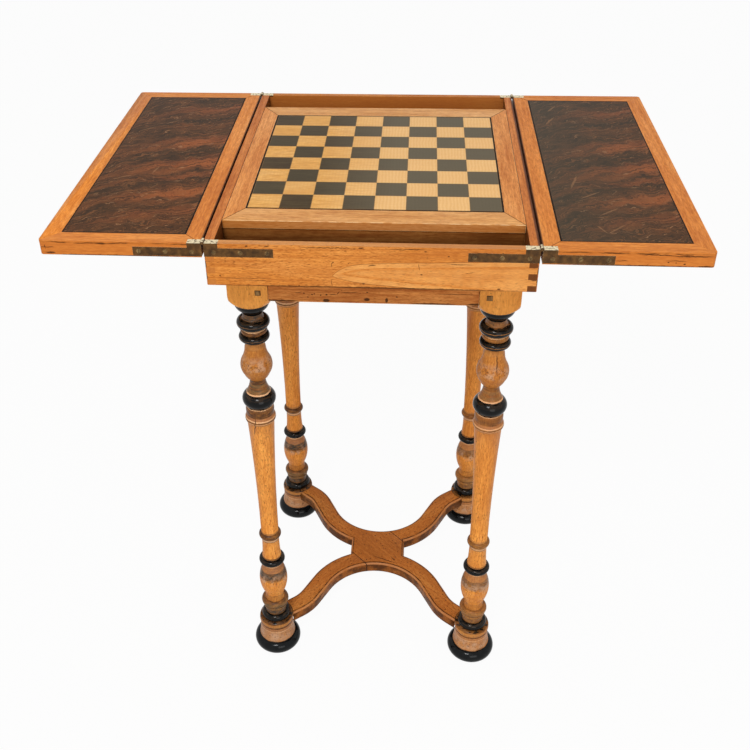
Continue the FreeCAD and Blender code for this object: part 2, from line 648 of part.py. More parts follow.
def make_hinge_plate(label, side, end, leaf):
    """A brass plate: strap and cheek in the wood's face, a tab over the top and a knuckle on the
    hinge line. The case's knuckle is the outer one, the leaf's is behind it."""
    body = new_body(label)
    face = f"{end}*half_depth"
    sketch = sketch_on(body, "XZ_Plane", face_height(end))
    low, high = plate_span(side, leaf, "strap_long")
    draw_rectangle(sketch, low, "strap_foot", high, "strap_top")
    pad(body, sketch, "plate_thick", down=end < 0)
    sketch = sketch_on(body, "XZ_Plane", face_height(end))
    low, high = plate_span(side, leaf, "cheek_wide")
    draw_rectangle(sketch, low, "strap_foot", high, "top_height")
    pad(body, sketch, "plate_thick", down=end < 0)
    sketch = sketch_on(body, "XY_Plane", "top_height")
    draw_rectangle(sketch, low, face, high, f"{face} - ({end})*tab_deep")
    pad(body, sketch, "plate_thick", down=True)

    # room for the other plate's knuckle, then this plate's own knuckle with its neck
    own_start = "tab_deep/2 + knuckle_clear/2" if leaf else "0"
    other_start = "0" if leaf else "tab_deep/2 - knuckle_clear/2"
    own_long = "tab_deep/2 - knuckle_clear/2"
    other_long = "tab_deep/2 + knuckle_clear/2"
    axis = f"{side}*hinge_x"
    sketch = sketch_on(body, "XZ_Plane", f"{-end}*(half_depth - ({other_start}))")
    draw_circle(sketch, axis, "top_height", "knuckle_radius + knuckle_clear")
    pocket(body, sketch, other_long, up=end > 0)
    height = f"{-end}*(half_depth - ({own_start}))"
    sketch = sketch_on(body, "XZ_Plane", height)
    edge, inward = wood_edge(side, leaf)
    draw_rectangle(sketch, axis, "top_height - plate_thick", f"{edge} + {inward}*plate_thick/2", "top_height")
    pad(body, sketch, own_long, down=end < 0)
    sketch = sketch_on(body, "XZ_Plane", height)
    draw_circle(sketch, axis, "top_height", "knuckle_radius")
    pad(body, sketch, own_long, down=end < 0)
    sketch = sketch_on(body, "XZ_Plane", height)
    draw_circle(sketch, axis, "top_height", "pin_radius + pin_clear" if leaf else "pin_radius")
    pocket(body, sketch, own_long, up=end > 0)

    # each screw has a clear hole and a seat for its head
    for radius, depth in (("screw_shank_radius + screw_clear", "plate_thick"),
                          ("screw_head_radius + screw_clear", "screw_head_tall")):
        sketch = sketch_on(body, "XZ_Plane", face_height(end))
        for x in screw_places(side, leaf):
            draw_circle(sketch, x, "strap_middle", radius)
        pocket(body, sketch, depth, up=end > 0)


def make_hinge_screws(label, sides, leaf):
    """Slotted screws of the plates on the case or on one leaf; no two slots stand alike."""
    body = new_body(label)
    number = 0
    for end in ENDS.values():
        heads = sketch_on(body, "XZ_Plane", face_height(end))
        shanks = sketch_on(body, "XZ_Plane", face_height(end))
        slots = sketch_on(body, "XZ_Plane", face_height(end))
        for x in [x for side in sides for x in screw_places(side, leaf)]:
            draw_circle(heads, x, "strap_middle", "screw_head_radius")
            draw_circle(shanks, x, "strap_middle", "screw_shank_radius")
            along = f"cos({SLOT_TURN * number})"
            across = f"sin({SLOT_TURN * number})"
            draw(slots, [(f"{x} + {a}*screw_head_radius*{along} - {b}*slot_wide/2*{across}",
                          f"strap_middle + {a}*screw_head_radius*{across} + {b}*slot_wide/2*{along}")
                         for a, b in ((-1, -1), (1, -1), (1, 1), (-1, 1))])
            number += 1
        pad(body, heads, "screw_head_tall", down=end < 0)
        pad(body, shanks, "screw_long", down=end < 0)
        pocket(body, slots, "slot_deep", up=end > 0)


def make_hinge_pins():
    """Four pins, fast in the case's knuckles."""
    pins = []
    for side in SIDES.values():
        for end in ENDS.values():
            pin = doc.addObject("Part::Cylinder", "pin")
            bind(pin, Radius="pin_radius", Height="tab_deep")
            pin.Placement.Rotation = FreeCAD.Rotation(FreeCAD.Vector(1, 0, 0), 90 * end)
            bind(pin, Placement__Base__x=f"{side}*hinge_x", Placement__Base__y=f"{end}*half_depth",
                 Placement__Base__z="top_height")
            pins.append(pin)
    group("hinge_pins", pins)


# ----------------------------------------------------------------------------------------------
# Stand
# ----------------------------------------------------------------------------------------------

def stacked(start, steps, upward):
    """Adds heights one after another and gives the level after each step."""
    levels = [start]
    for step in steps:
        levels.append(f"{levels[-1]} {'+' if upward else '-'} {step}")
    return levels


def lower_turnings():
    """Profile of the leg from the foot up to the foot of the shaft, as (radius, height, bulge)."""
    (drum, groove, rim, base_ring, neck, bead, low_ring, bulb_neck, bulb, bulb_top, ankle, ankle_neck,
     shaft_ring, shaft) = stacked("foot_tall", [
         "bell_tall", "groove_tall", "rim_tall", "base_ring_tall", "base_neck_tall", "bead_tall",
         "low_ring_tall", "bulb_neck_tall", "bulb_tall", "bulb_top_tall", "ankle_ring_tall",
         "ankle_neck_tall", "shaft_ring_tall"], upward=True)
    return [
        ("0", "foot_tall - spigot_long"),
        ("spigot_radius", "foot_tall - spigot_long"),
        ("spigot_radius", "foot_tall"),
        ("bell_foot_radius", drum, "-small_hollow"),
        ("bell_top_radius", groove),
        ("groove_radius", groove),
        ("groove_radius", rim),
        ("rim_seat_radius", rim, "rim_radius - rim_seat_radius"),
        ("rim_seat_radius", base_ring),
        ("base_ring_seat", base_ring, "base_ring_radius - base_ring_seat"),
        ("base_ring_seat", neck),
        ("base_neck_radius", neck),
        ("base_neck_radius", bead, "bead_radius - base_neck_radius"),
        ("base_neck_radius", low_ring, "low_ring_radius - base_neck_radius"),
        ("base_neck_radius", bulb_neck),
        ("bulb_neck_radius", bulb_neck, "-small_hollow"),
        ("bulb_neck_radius", bulb, "bulb_radius - bulb_neck_radius"),
        ("bulb_neck_radius", bulb_top, "-small_hollow"),
        ("bulb_neck_radius", ankle, "ankle_ring_radius - bulb_neck_radius"),
        ("bulb_neck_radius", ankle_neck),
        ("ankle_neck_radius", ankle_neck, "-small_hollow"),
        ("shaft_foot_radius", shaft_ring, "shaft_ring_radius - shaft_foot_radius"),
        ("shaft_foot_radius", shaft, "-shaft_hollow"),
    ]


def upper_turnings():
    """Profile of the leg from the block down to the top of the shaft, in that order."""
    (block, cap, cove, lip, upper_ring, collar, second_ring, neck, hollow, vase, vase_foot, cup, ball,
     first_collar, second_collar, shaft) = stacked("case_foot - block_tall", [
         "shoulder_tall", "cap_tall", "cove_tall", "lip_tall", "upper_ring_tall", "collar_tall",
         "second_ring_tall", "neck_tall", "vase_shoulder_tall", "vase_tall", "vase_foot_tall",
         "cup_tall", "ball_tall", "first_collar_tall", "second_collar_tall"], upward=False)
    return [
        ("0", "case_foot"),
        ("blank_radius", "case_foot"),
        ("blank_radius", block, "shoulder_swell"),
        ("shoulder_radius", cap, "cap_swell"),
        ("cap_radius", cove, "-cove_hollow"),
        ("cove_radius", lip, "-small_hollow"),
        ("ring_seat_radius", upper_ring, "upper_ring_radius - ring_seat_radius"),
        ("ring_seat_radius", collar, "collar_radius - ring_seat_radius"),
        ("ring_seat_radius", second_ring, "second_ring_radius - ring_seat_radius"),
        ("ring_seat_radius", neck),
        ("neck_radius", neck, "-small_hollow"),
        ("neck_radius", hollow, "-small_hollow"),
        ("vase_seat_radius", vase, "vase_radius - vase_seat_radius"),
        ("vase_seat_radius", vase_foot, "vase_foot_swell"),
        ("waist_radius", cup, "-cup_hollow"),
        ("cup_radius", ball),
        ("ball_seat_radius", ball, "ball_radius - ball_seat_radius"),
        ("ball_seat_radius", first_collar),
        ("shaft_top_radius", first_collar, "first_collar_radius - shaft_top_radius"),
        ("shaft_top_radius", second_collar, "second_collar_radius - shaft_top_radius"),
        ("shaft_top_radius", shaft),
    ]


def leg_profile():
    """The whole outline, anticlockwise. A bulge belongs to the edge that follows its point, so those
    of the upper turnings move on by one point when their order is turned round."""
    down = upper_turnings()
    up = []
    for index in range(len(down) - 1, -1, -1):
        before = down[index - 1] if index else ()
        up.append((*down[index][:2], *before[2:]))
    return lower_turnings() + up


def make_leg(name, side, end, turn):
    """A leg in its own frame: one apron runs along its +X, the other along its +Y."""
    body = new_body(f"leg_{name}")
    sketch = sketch_on(body, "XZ_Plane")
    draw(sketch, leg_profile())
    revolve(body, sketch)

    # the block is what the lathe leaves square
    sketch = sketch_on(body, "XY_Plane", "case_foot")
    for reach in ("blank_radius + shoulder_swell", "block_half"):
        draw_rectangle(sketch, f"-({reach})", f"-({reach})", reach, reach)
    pocket(body, sketch, "block_tall + shoulder_tall")

    # mortises for the apron tenons, on the two inner faces
    tenon_low = "case_foot - apron_tall + tenon_foot_shoulder"
    tenon_high = "case_foot - tenon_top_shoulder"
    cheek = "(apron_setback + tenon_inset - block_half)"
    sketch = sketch_on(body, "YZ_Plane", "block_half")
    draw_rectangle(sketch, cheek, tenon_low, f"{cheek} + tenon_thick", tenon_high)
    pocket(body, sketch, "tenon_long + mortise_clear")
    sketch = sketch_on(body, "XZ_Plane", "-block_half")
    draw_rectangle(sketch, cheek, tenon_low, f"{cheek} + tenon_thick", tenon_high)
    pocket(body, sketch, "tenon_long + mortise_clear", up=True)

    # peg holes on the two outer faces, and the hole of the screw that holds the case
    middle = "case_foot - peg_drop"
    sketch = sketch_on(body, "XZ_Plane", "block_half")
    draw_rectangle(sketch, "peg_in - peg_side/2", f"{middle} - peg_side/2", "peg_in + peg_side/2",
                   f"{middle} + peg_side/2")
    pocket(body, sketch, "peg_long - peg_proud")
    sketch = sketch_on(body, "YZ_Plane", "-block_half")
    draw_rectangle(sketch, "peg_in - peg_side/2", f"{middle} - peg_side/2", "peg_in + peg_side/2",
                   f"{middle} + peg_side/2")
    pocket(body, sketch, "peg_long - peg_proud", up=True)
    sketch = sketch_on(body, "XY_Plane", "case_foot")
    draw_circle(sketch, "0", "0", "stand_screw_radius + screw_clear")
    pocket(body, sketch, "stand_screw_long")

    # mortise for the stretcher's tenon, towards the middle of the stand; it lies the other way round
    # in the two legs that the upper piece joins
    mortise = arm_tenon("arm_tenon_end - mortise_clear", "rim_radius + tenon_root")
    if side != end:
        mortise = [(y, x) for x, y in mortise]
    sketch = sketch_on(body, "XY_Plane", ARM_TENON_TOP)
    draw(sketch, mortise)
    pocket(body, sketch, "arm_tenon_tall")
    place(body, f"{side}*leg_spread", f"{end}*leg_spread", "0", str(turn))


def make_foot(name, side, end):
    """An ebonised cushion foot, bored for the leg's spigot."""
    body = new_body(f"foot_{name}")
    sketch = sketch_on(body, "XZ_Plane")
    bore = "spigot_radius + spigot_clear"
    draw(sketch, [("0", "0"), ("foot_rest_radius", "0", "(foot_radius - foot_rest_radius)"),
                  ("foot_rest_radius", "foot_tall"), (bore, "foot_tall"),
                  (bore, "foot_tall - spigot_long"), ("0", "foot_tall - spigot_long")])
    revolve(body, sketch)
    place(body, f"{side}*leg_spread", f"{end}*leg_spread")


def make_apron(label, x, y, turn):
    """An apron in its own frame: along X, with its outer face towards -Y and a tenon at each end."""
    body = new_body(label)
    half = "(leg_spread - block_half)"
    face = "(apron_setback - block_half)"
    sketch = sketch_on(body, "XY_Plane", "case_foot")
    draw_rectangle(sketch, f"-{half}", face, half, f"{face} + apron_thick")
    pad(body, sketch, "apron_tall", down=True)
    sketch = sketch_on(body, "XY_Plane", "case_foot - tenon_top_shoulder")
    cheek = f"({face} + tenon_inset)"
    draw_rectangle(sketch, f"-{half} - tenon_long", cheek, f"{half} + tenon_long", f"{cheek} + tenon_thick")
    pad(body, sketch, "apron_tall - tenon_top_shoulder - tenon_foot_shoulder", down=True)
    middle = "case_foot - peg_drop"
    sketch = sketch_on(body, "XZ_Plane", f"-{cheek}")
    for sign in (-1, 1):
        centre = f"{sign}*(leg_spread - peg_in)"
        draw_rectangle(sketch, f"{centre} - peg_side/2", f"{middle} - peg_side/2", f"{centre} + peg_side/2",
                       f"{middle} + peg_side/2")
    pocket(body, sketch, "tenon_thick")
    place(body, x, y, "0", str(turn))


def make_pegs():
    """Two square pegs in each block, one for each apron tenon, on the block's outer faces."""
    pegs = []
    low = "case_foot - peg_drop - peg_side/2"
    outer = "(leg_spread + block_half + peg_proud)"
    inner = f"({outer} - peg_long)"
    edge = "(leg_spread - peg_in - peg_side/2)"
    for _, side, end, _ in CORNERS:
        across = edge if side > 0 else f"-{edge} - peg_side"
        deep = inner if end > 0 else f"-{outer}"
        pegs.append(box("peg", (across, deep, low), ("peg_side", "peg_long", "peg_side"), piece=False))
        across = inner if side > 0 else f"-{outer}"
        deep = edge if end > 0 else f"-{edge} - peg_side"
        pegs.append(box("peg", (across, deep, low), ("peg_long", "peg_side", "peg_side"), piece=False))
    group("apron_pegs", pegs)


def make_stand_screws():
    """Four screws through the case's bottom panel into the tops of the legs."""
    screws = []
    top = "case_foot + bottom_thick"
    for _, side, end, _ in CORNERS:
        shank = doc.addObject("Part::Cylinder", "shank")
        bind(shank, Radius="stand_screw_radius", Height="stand_screw_long - stand_head_tall")
        place(shank, f"{side}*leg_spread", f"{end}*leg_spread", f"{top} - stand_screw_long")
        head = doc.addObject("Part::Cylinder", "head")
        bind(head, Radius="stand_head_radius", Height="stand_head_tall")
        place(head, f"{side}*leg_spread", f"{end}*leg_spread", f"{top} - stand_head_tall")
        screw = doc.addObject("Part::Fuse", "stand_screw")
        screw.Base = shank
        screw.Tool = head
        screws.append(screw)
    group("stand_screws", screws)


# ----------------------------------------------------------------------------------------------
# Stretcher
# ----------------------------------------------------------------------------------------------
# An arm's centre line leaves the hub round a bend about a point behind the middle of the table, runs
# straight, and bends back to head for the leg's axis. The points are those of the arm towards +X +Y.

ARM_TENON_TOP = "stretcher_top - (stretcher_thick - arm_tenon_tall)/2"


def beside(x, y, heading, shift):
    """A point moved to the left of a heading."""
    return (f"{x} - {shift}*sin({heading})", f"{y} + {shift}*cos({heading})")


def arm_tenon(near, far):
    """Plan of the tenon between two distances from a leg's axis, with the hub towards +X +Y."""
    corners = []
    for away, shift in ((near, "-arm_tenon_wide/2"), (far, "-arm_tenon_wide/2"),
                        (far, "arm_tenon_wide/2"), (near, "arm_tenon_wide/2")):
        corners.append(beside(f"({away})*cos(arm_heading)", f"({away})*sin(arm_heading)", "arm_heading",
                              f"({shift})"))
    return corners


def arm_plan():
    """Outline of one arm, from the hub's side round the leg's axis to the end of the half-lap."""
    half = "arm_wide/2"
    bend_rise = "(1 - cos((bend_angle - arm_heading)/2))"
    flank_rise = "(1 - cos((bend_angle - flank_heading)/2))"
    lap_rise = "(1 - cos((bend_angle + lap_heading)/2))"
    return [
        ("hub_half_width", "bend_centre - sqrt((inner_bend + arm_wide/2)^2 - hub_half_width^2)",
         f"(inner_bend + {half})*{flank_rise}"),
        beside("bend_x", "bend_y", "bend_angle", f"-{half}"),
        (*beside("run_x", "run_y", "bend_angle", f"-{half}"), f"-(outer_bend - {half})*{bend_rise}"),
        beside(*beside("turn_x", "turn_y", "arm_heading", "outer_bend"), "arm_heading", f"-{half}"),
        beside("leg_spread", "leg_spread", "arm_heading", f"-{half}"),
        beside("leg_spread", "leg_spread", "arm_heading", half),
        (*beside(*beside("turn_x", "turn_y", "arm_heading", "outer_bend"), "arm_heading", half),
         f"(outer_bend + {half})*{bend_rise}"),
        beside("run_x", "run_y", "bend_angle", half),
        (*beside("bend_x", "bend_y", "bend_angle", half), f"-(inner_bend - {half})*{lap_rise}"),
        ("-lap_reach", f"bend_centre - sqrt((inner_bend - {half})^2 - lap_reach^2)"),
    ]


def stretcher_plan(side):
    """Outline of a whole piece: two arms and the hub as far as the joint lines of the half-lap."""
    arm = arm_plan()
    corner = ("-hub_half_width", arm[0][1])
    run = [*arm, corner]
    return mirrored(run + mirrored(run, -1, -1), side)


def make_stretcher(label, side):
    """A serpentine piece with two arms. The piece with side 1 lies under the other in the half-lap."""
    body = new_body(label)
    sketch = sketch_on(body, "XY_Plane", "stretcher_foot")
    draw(sketch, stretcher_plan(side))
    plank = pad(body, sketch, "stretcher_thick")

    # rounded upper edges, all but the two joint lines
    level = value("stretcher_top")
    edges = []
    for number, edge in enumerate(plank.Shape.Edges, start=1):
        middle = edge.valueAt((edge.FirstParameter + edge.LastParameter) / 2)
        on_top = min(vertex.Z for vertex in edge.Vertexes) > level - 0.01
        joint_line = side * middle.x * middle.y < 0 and abs(edge.Curve.Direction.y) < 0.99
        if on_top and not joint_line:
            edges.append(f"Edge{number}")
    fillet = body.newObject("PartDesign::Fillet", "fillet")
    fillet.Base = (plank, edges)
    bind(fillet, Radius="arm_round")
    doc.recompute()

    # half-lap at the hub
    sketch = sketch_on(body, "XY_Plane", "stretcher_foot + stretcher_thick/2")
    draw(sketch, stretcher_plan(-side))
    pocket(body, sketch, "stretcher_thick/2", up=side > 0)

    # ends scribed round the drums, with a tenon into each
    scribe = sketch_on(body, "XY_Plane", "stretcher_top")
    tenons = sketch_on(body, "XY_Plane", ARM_TENON_TOP)
    tenon = [(f"{x} - leg_spread", f"{y} - leg_spread")
             for x, y in arm_tenon("arm_tenon_end", "rim_radius + tenon_root")]
    for end in (-1, 1):
        draw_circle(scribe, f"{side * end}*leg_spread", f"{end}*leg_spread", "rim_radius + scribe_clear")
        draw(tenons, mirrored(tenon, -side * end, -end))
    pocket(body, scribe, "stretcher_thick")
    pad(body, tenons, "arm_tenon_tall", down=True)


# ----------------------------------------------------------------------------------------------
# The whole table
# ----------------------------------------------------------------------------------------------

for name, end in ENDS.items():
    make_case_end(name, end)
for name, side in SIDES.items():
    make_case_side(name, side)
make_case_bottom()
make_case_fittings()
make_chess_board()
for name, side in SIDES.items():
    make_leaf(name, side)
    for end_name, end in ENDS.items():
        make_hinge_plate(f"case_hinge_plate_{end_name}_{name}", side, end, leaf=False)
        make_hinge_plate(f"{name}_leaf_hinge_plate_{end_name}", side, end, leaf=True)
    make_hinge_screws(f"{name}_leaf_hinge_screws", [side], leaf=True)
make_hinge_screws("case_hinge_screws", SIDES.values(), leaf=False)
make_hinge_pins()
for name, side, end, turn in CORNERS:
    make_leg(name, side, end, turn)
    make_foot(name, side, end)
make_apron("front_apron", "0", "-leg_spread", 0)
make_apron("right_apron", "leg_spread", "0", 90)
make_apron("back_apron", "0", "leg_spread", 180)
make_apron("left_apron", "-leg_spread", "0", 270)
make_pegs()
make_stand_screws()
make_stretcher("stretcher_lower", 1)
make_stretcher("stretcher_upper", -1)
doc.recompute()

for thing in doc.Objects:
    if {"Invalid", "Error"} & set(thing.State):
        raise RuntimeError(f"{thing.Label} has not been computed: {thing.State}")
os.makedirs("parts", exist_ok=True)
for piece in PIECES:
    if piece.Shape.isNull() or not piece.Shape.isValid():
        raise RuntimeError(f"{piece.Label} has no valid shape")
    piece.Shape.exportStep(f"parts/{piece.Label}.step")
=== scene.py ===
import math
import bmesh
import bpy
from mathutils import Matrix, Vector


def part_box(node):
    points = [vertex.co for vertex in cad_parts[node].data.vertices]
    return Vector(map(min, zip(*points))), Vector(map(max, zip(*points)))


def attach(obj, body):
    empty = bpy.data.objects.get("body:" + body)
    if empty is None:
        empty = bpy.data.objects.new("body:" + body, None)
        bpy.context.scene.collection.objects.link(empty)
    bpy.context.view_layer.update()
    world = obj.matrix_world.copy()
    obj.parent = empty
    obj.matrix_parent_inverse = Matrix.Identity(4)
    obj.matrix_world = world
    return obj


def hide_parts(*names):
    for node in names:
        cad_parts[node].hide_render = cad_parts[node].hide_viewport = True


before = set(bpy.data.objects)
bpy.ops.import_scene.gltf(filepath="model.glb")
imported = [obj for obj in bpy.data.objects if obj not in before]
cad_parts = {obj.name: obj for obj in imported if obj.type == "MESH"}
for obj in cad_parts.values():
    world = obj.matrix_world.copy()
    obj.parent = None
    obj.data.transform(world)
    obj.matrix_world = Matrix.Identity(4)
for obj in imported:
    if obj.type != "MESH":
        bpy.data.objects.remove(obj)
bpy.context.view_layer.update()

MM = 0.001
FRONT_AND_BACK = ("front", "back")
LEFT_AND_RIGHT = ("left", "right")
CORNERS = ("front_left", "front_right", "back_left", "back_right")
SQUARE = 36 * MM
# Faces that scars, veins and painted shadow lines are drawn on: where they lie, in millimetres along Y
# or above the floor.
CASE_FRONT, APRON_FRONT, LEG_FRONT, TABLE_TOP, STRETCHER_TOP = -233.2, -169.5, -164, 732, 57
# Turns that bring each grain direction onto the local X axis.
ALONG = {"x": (0, 0, 0), "y": (0, 0, -math.pi / 2), "z": (0, math.pi / 2, 0),
         "falling": (0, 0, math.radians(45)), "rising": (0, 0, math.radians(-45))}


# ---------------------------------------------------------------- nodes

def linear(code, amount=1.0):
    """Linear colour of an sRGB hex code, with an amount as its fourth number."""
    parts = [int(code[i:i + 2], 16) / 255 for i in (0, 2, 4)]
    return tuple(p / 12.92 if p <= 0.04045 else ((p + 0.055) / 1.055) ** 2.4 for p in parts) + (amount,)


def per(size_mm):
    """Texture scale that gives features of this size in millimetres."""
    return 1 / (size_mm * MM)


def put(tree, kind, *values, stops=(), **words):
    """Adds a node. Values go to its inputs in order, words in capitals to the inputs of that name, and
    the other words to its settings. Stops are the places and colours of a ramp."""
    node = tree.nodes.new("ShaderNode" + kind)
    for word, value in words.items():
        if word[0].islower():
            setattr(node, word, value)
    inputs = [socket for socket in node.inputs if socket.enabled]
    wires = list(zip(inputs, values))
    for word, value in words.items():
        if word[0].isupper():
            wires.append((next(s for s in inputs if s.name == word.replace("_", " ")), value))
    for socket, value in wires:
        if isinstance(value, bpy.types.Node):
            value = next(s for s in value.outputs if s.enabled)
        if isinstance(value, bpy.types.NodeSocket):
            tree.links.new(value, socket)
        else:
            socket.default_value = value
    if stops:
        ends = node.color_ramp.elements[0], node.color_ramp.elements[1]
        for element, (where, shade) in zip(ends, (stops[0], stops[-1])):
            element.position = where
            element.color = shade
        for where, shade in stops[1:-1]:
            node.color_ramp.elements.new(where).color = shade
    return node


def start(name):
    """A new material with its node tree, and the place and normal of a point in the object."""
    material = bpy.data.materials.new(name)
    material.use_nodes = True
    tree = material.node_tree
    tree.nodes.clear()
    coordinates = put(tree, "TexCoord")
    return material, tree, coordinates.outputs["Object"], coordinates.outputs["Normal"]


# ---------------------------------------------------------------- woods

def aged_wood(tree, place, normal, grain, tones, figure=0.5, flecks=0.5, holes=0.25, growth_mm=3.6,
              fibre_mm=1.7, hole_mm=24, end_grain=0.6, end_tone="4f2c14", dirt=0.75, shift=(0, 0, 0)):
    """Colour, relief and growth lines of an old planed wood with its grain along one direction.

    tones are its dark, middle and pale colours. Fibres and pores are drawn about twice as coarse as they
    are, so that they still show from across a room.
    """
    turned = put(tree, "Mapping", place, shift, ALONG[grain])
    drawn_out = {times: put(tree, "VectorMath", turned, (1 / times, 1, 1), operation="MULTIPLY")
                 for times in (4, 6, 26)}
    patch = put(tree, "TexNoise", Vector=drawn_out[4], Scale=per(42), Detail=3.0, Roughness=0.6)
    growth = put(tree, "TexNoise", Vector=drawn_out[26], Scale=per(growth_mm), Detail=4.0, Roughness=0.6,
                 Distortion=0.35)
    fibre = put(tree, "TexNoise", Vector=drawn_out[6], Scale=per(fibre_mm), Detail=2.0, Roughness=0.6)
    pores = put(tree, "TexNoise", Vector=drawn_out[4], Scale=per(1.2), Detail=1.0)
    base = put(tree, "ValToRGB", patch, stops=[
        (0.28, linear(tones[0])), (0.5, linear(tones[1])), (0.72, linear(tones[2]))])
    light = put(tree, "Math", put(tree, "MapRange", growth, 0.33, 0.67, 1 + 0.3 * figure, 1 - 0.6 * figure),
                put(tree, "MapRange", fibre, 0.33, 0.67, 1.2, 0.78), operation="MULTIPLY")
    # Dark lines turn red and pale ones yellow, as the oil in the wood does it.
    warmth = put(tree, "VectorMath", light, (0.75, 1.1, 1.35), (0.25, -0.1, -0.35), operation="MULTIPLY_ADD")
    lined = put(tree, "VectorMath", base, warmth, operation="MULTIPLY")
    pored = put(tree, "Math", put(tree, "MapRange", pores, 0.57, 0.69, 0, 0.75 * flecks),
                put(tree, "MapRange", patch, 0.35, 0.6, 0.35, 1.0), operation="MULTIPLY")
    flecked = put(tree, "Mix", pored, lined, linear("6b330f"), data_type="RGBA")
    # Worm holes: a few cells each have one.
    cells = put(tree, "TexVoronoi", Vector=place, Scale=per(hole_mm))
    chosen = put(tree, "MapRange", put(tree, "SeparateColor", cells.outputs["Color"]).outputs[0],
                 1 - holes, 1.01 - holes)
    hole = put(tree, "Math", chosen, put(tree, "MapRange", cells.outputs["Distance"], 1.0 / hole_mm,
                                         0.55 / hole_mm, 0, 0.9), operation="MULTIPLY")
    colour = put(tree, "Mix", hole, flecked, linear("26150a"), data_type="RGBA")
    # End grain drinks the wax and goes brown.
    if grain in "xyz":
        end = put(tree, "Math", put(tree, "SeparateXYZ", normal).outputs["xyz".index(grain)],
                  operation="ABSOLUTE")
        colour = put(tree, "Mix", put(tree, "MapRange", end, 0.8, 0.95, 0, end_grain), colour,
                     linear(end_tone), data_type="RGBA")
    # Dirt and painted shade in the corners: darker where other surfaces are close by.
    nook = put(tree, "AmbientOcclusion", Distance=0.006, samples=4).outputs["AO"]
    colour = put(tree, "Mix", put(tree, "MapRange", nook, 0.8, 0.35, 0, dirt), colour, linear("2e1a0c"),
                 data_type="RGBA")
    relief = put(tree, "Math", hole, -2.0, put(tree, "Math", fibre, 0.5, operation="MULTIPLY"),
                 operation="MULTIPLY_ADD")
    return colour, relief, growth


def ellipse_marks(tree, place, face, marks, deep=4):
    """How much of a mark there is at a point: short cracks, dents, veins, worm tracks and painted shadow
    lines on one face.

    Each mark is an ellipse: x, z, half its length, half its height and its tilt in degrees. It reaches
    deep millimetres in from the face.
    """
    shake = put(tree, "TexNoise", Vector=place, Scale=per(5), Detail=3.0).outputs["Color"]
    moved = put(tree, "VectorMath", shake, (0.0022, 0, 0.0022), place, operation="MULTIPLY_ADD")
    shaken = put(tree, "VectorMath", moved, (-0.0011, 0, -0.0011), operation="ADD")
    joined = 0.0
    for x, z, long, tall, tilt in marks:
        own = put(tree, "Mapping", shaken, [v * MM for v in (x, face, z)], (0, math.radians(-tilt), 0),
                  [v * MM for v in (long, deep, tall)], vector_type="TEXTURE")
        away = put(tree, "VectorMath", own, operation="LENGTH")
        joined = put(tree, "Math", joined, put(tree, "MapRange", away, 1.0, 0.65), operation="MAXIMUM")
    return joined


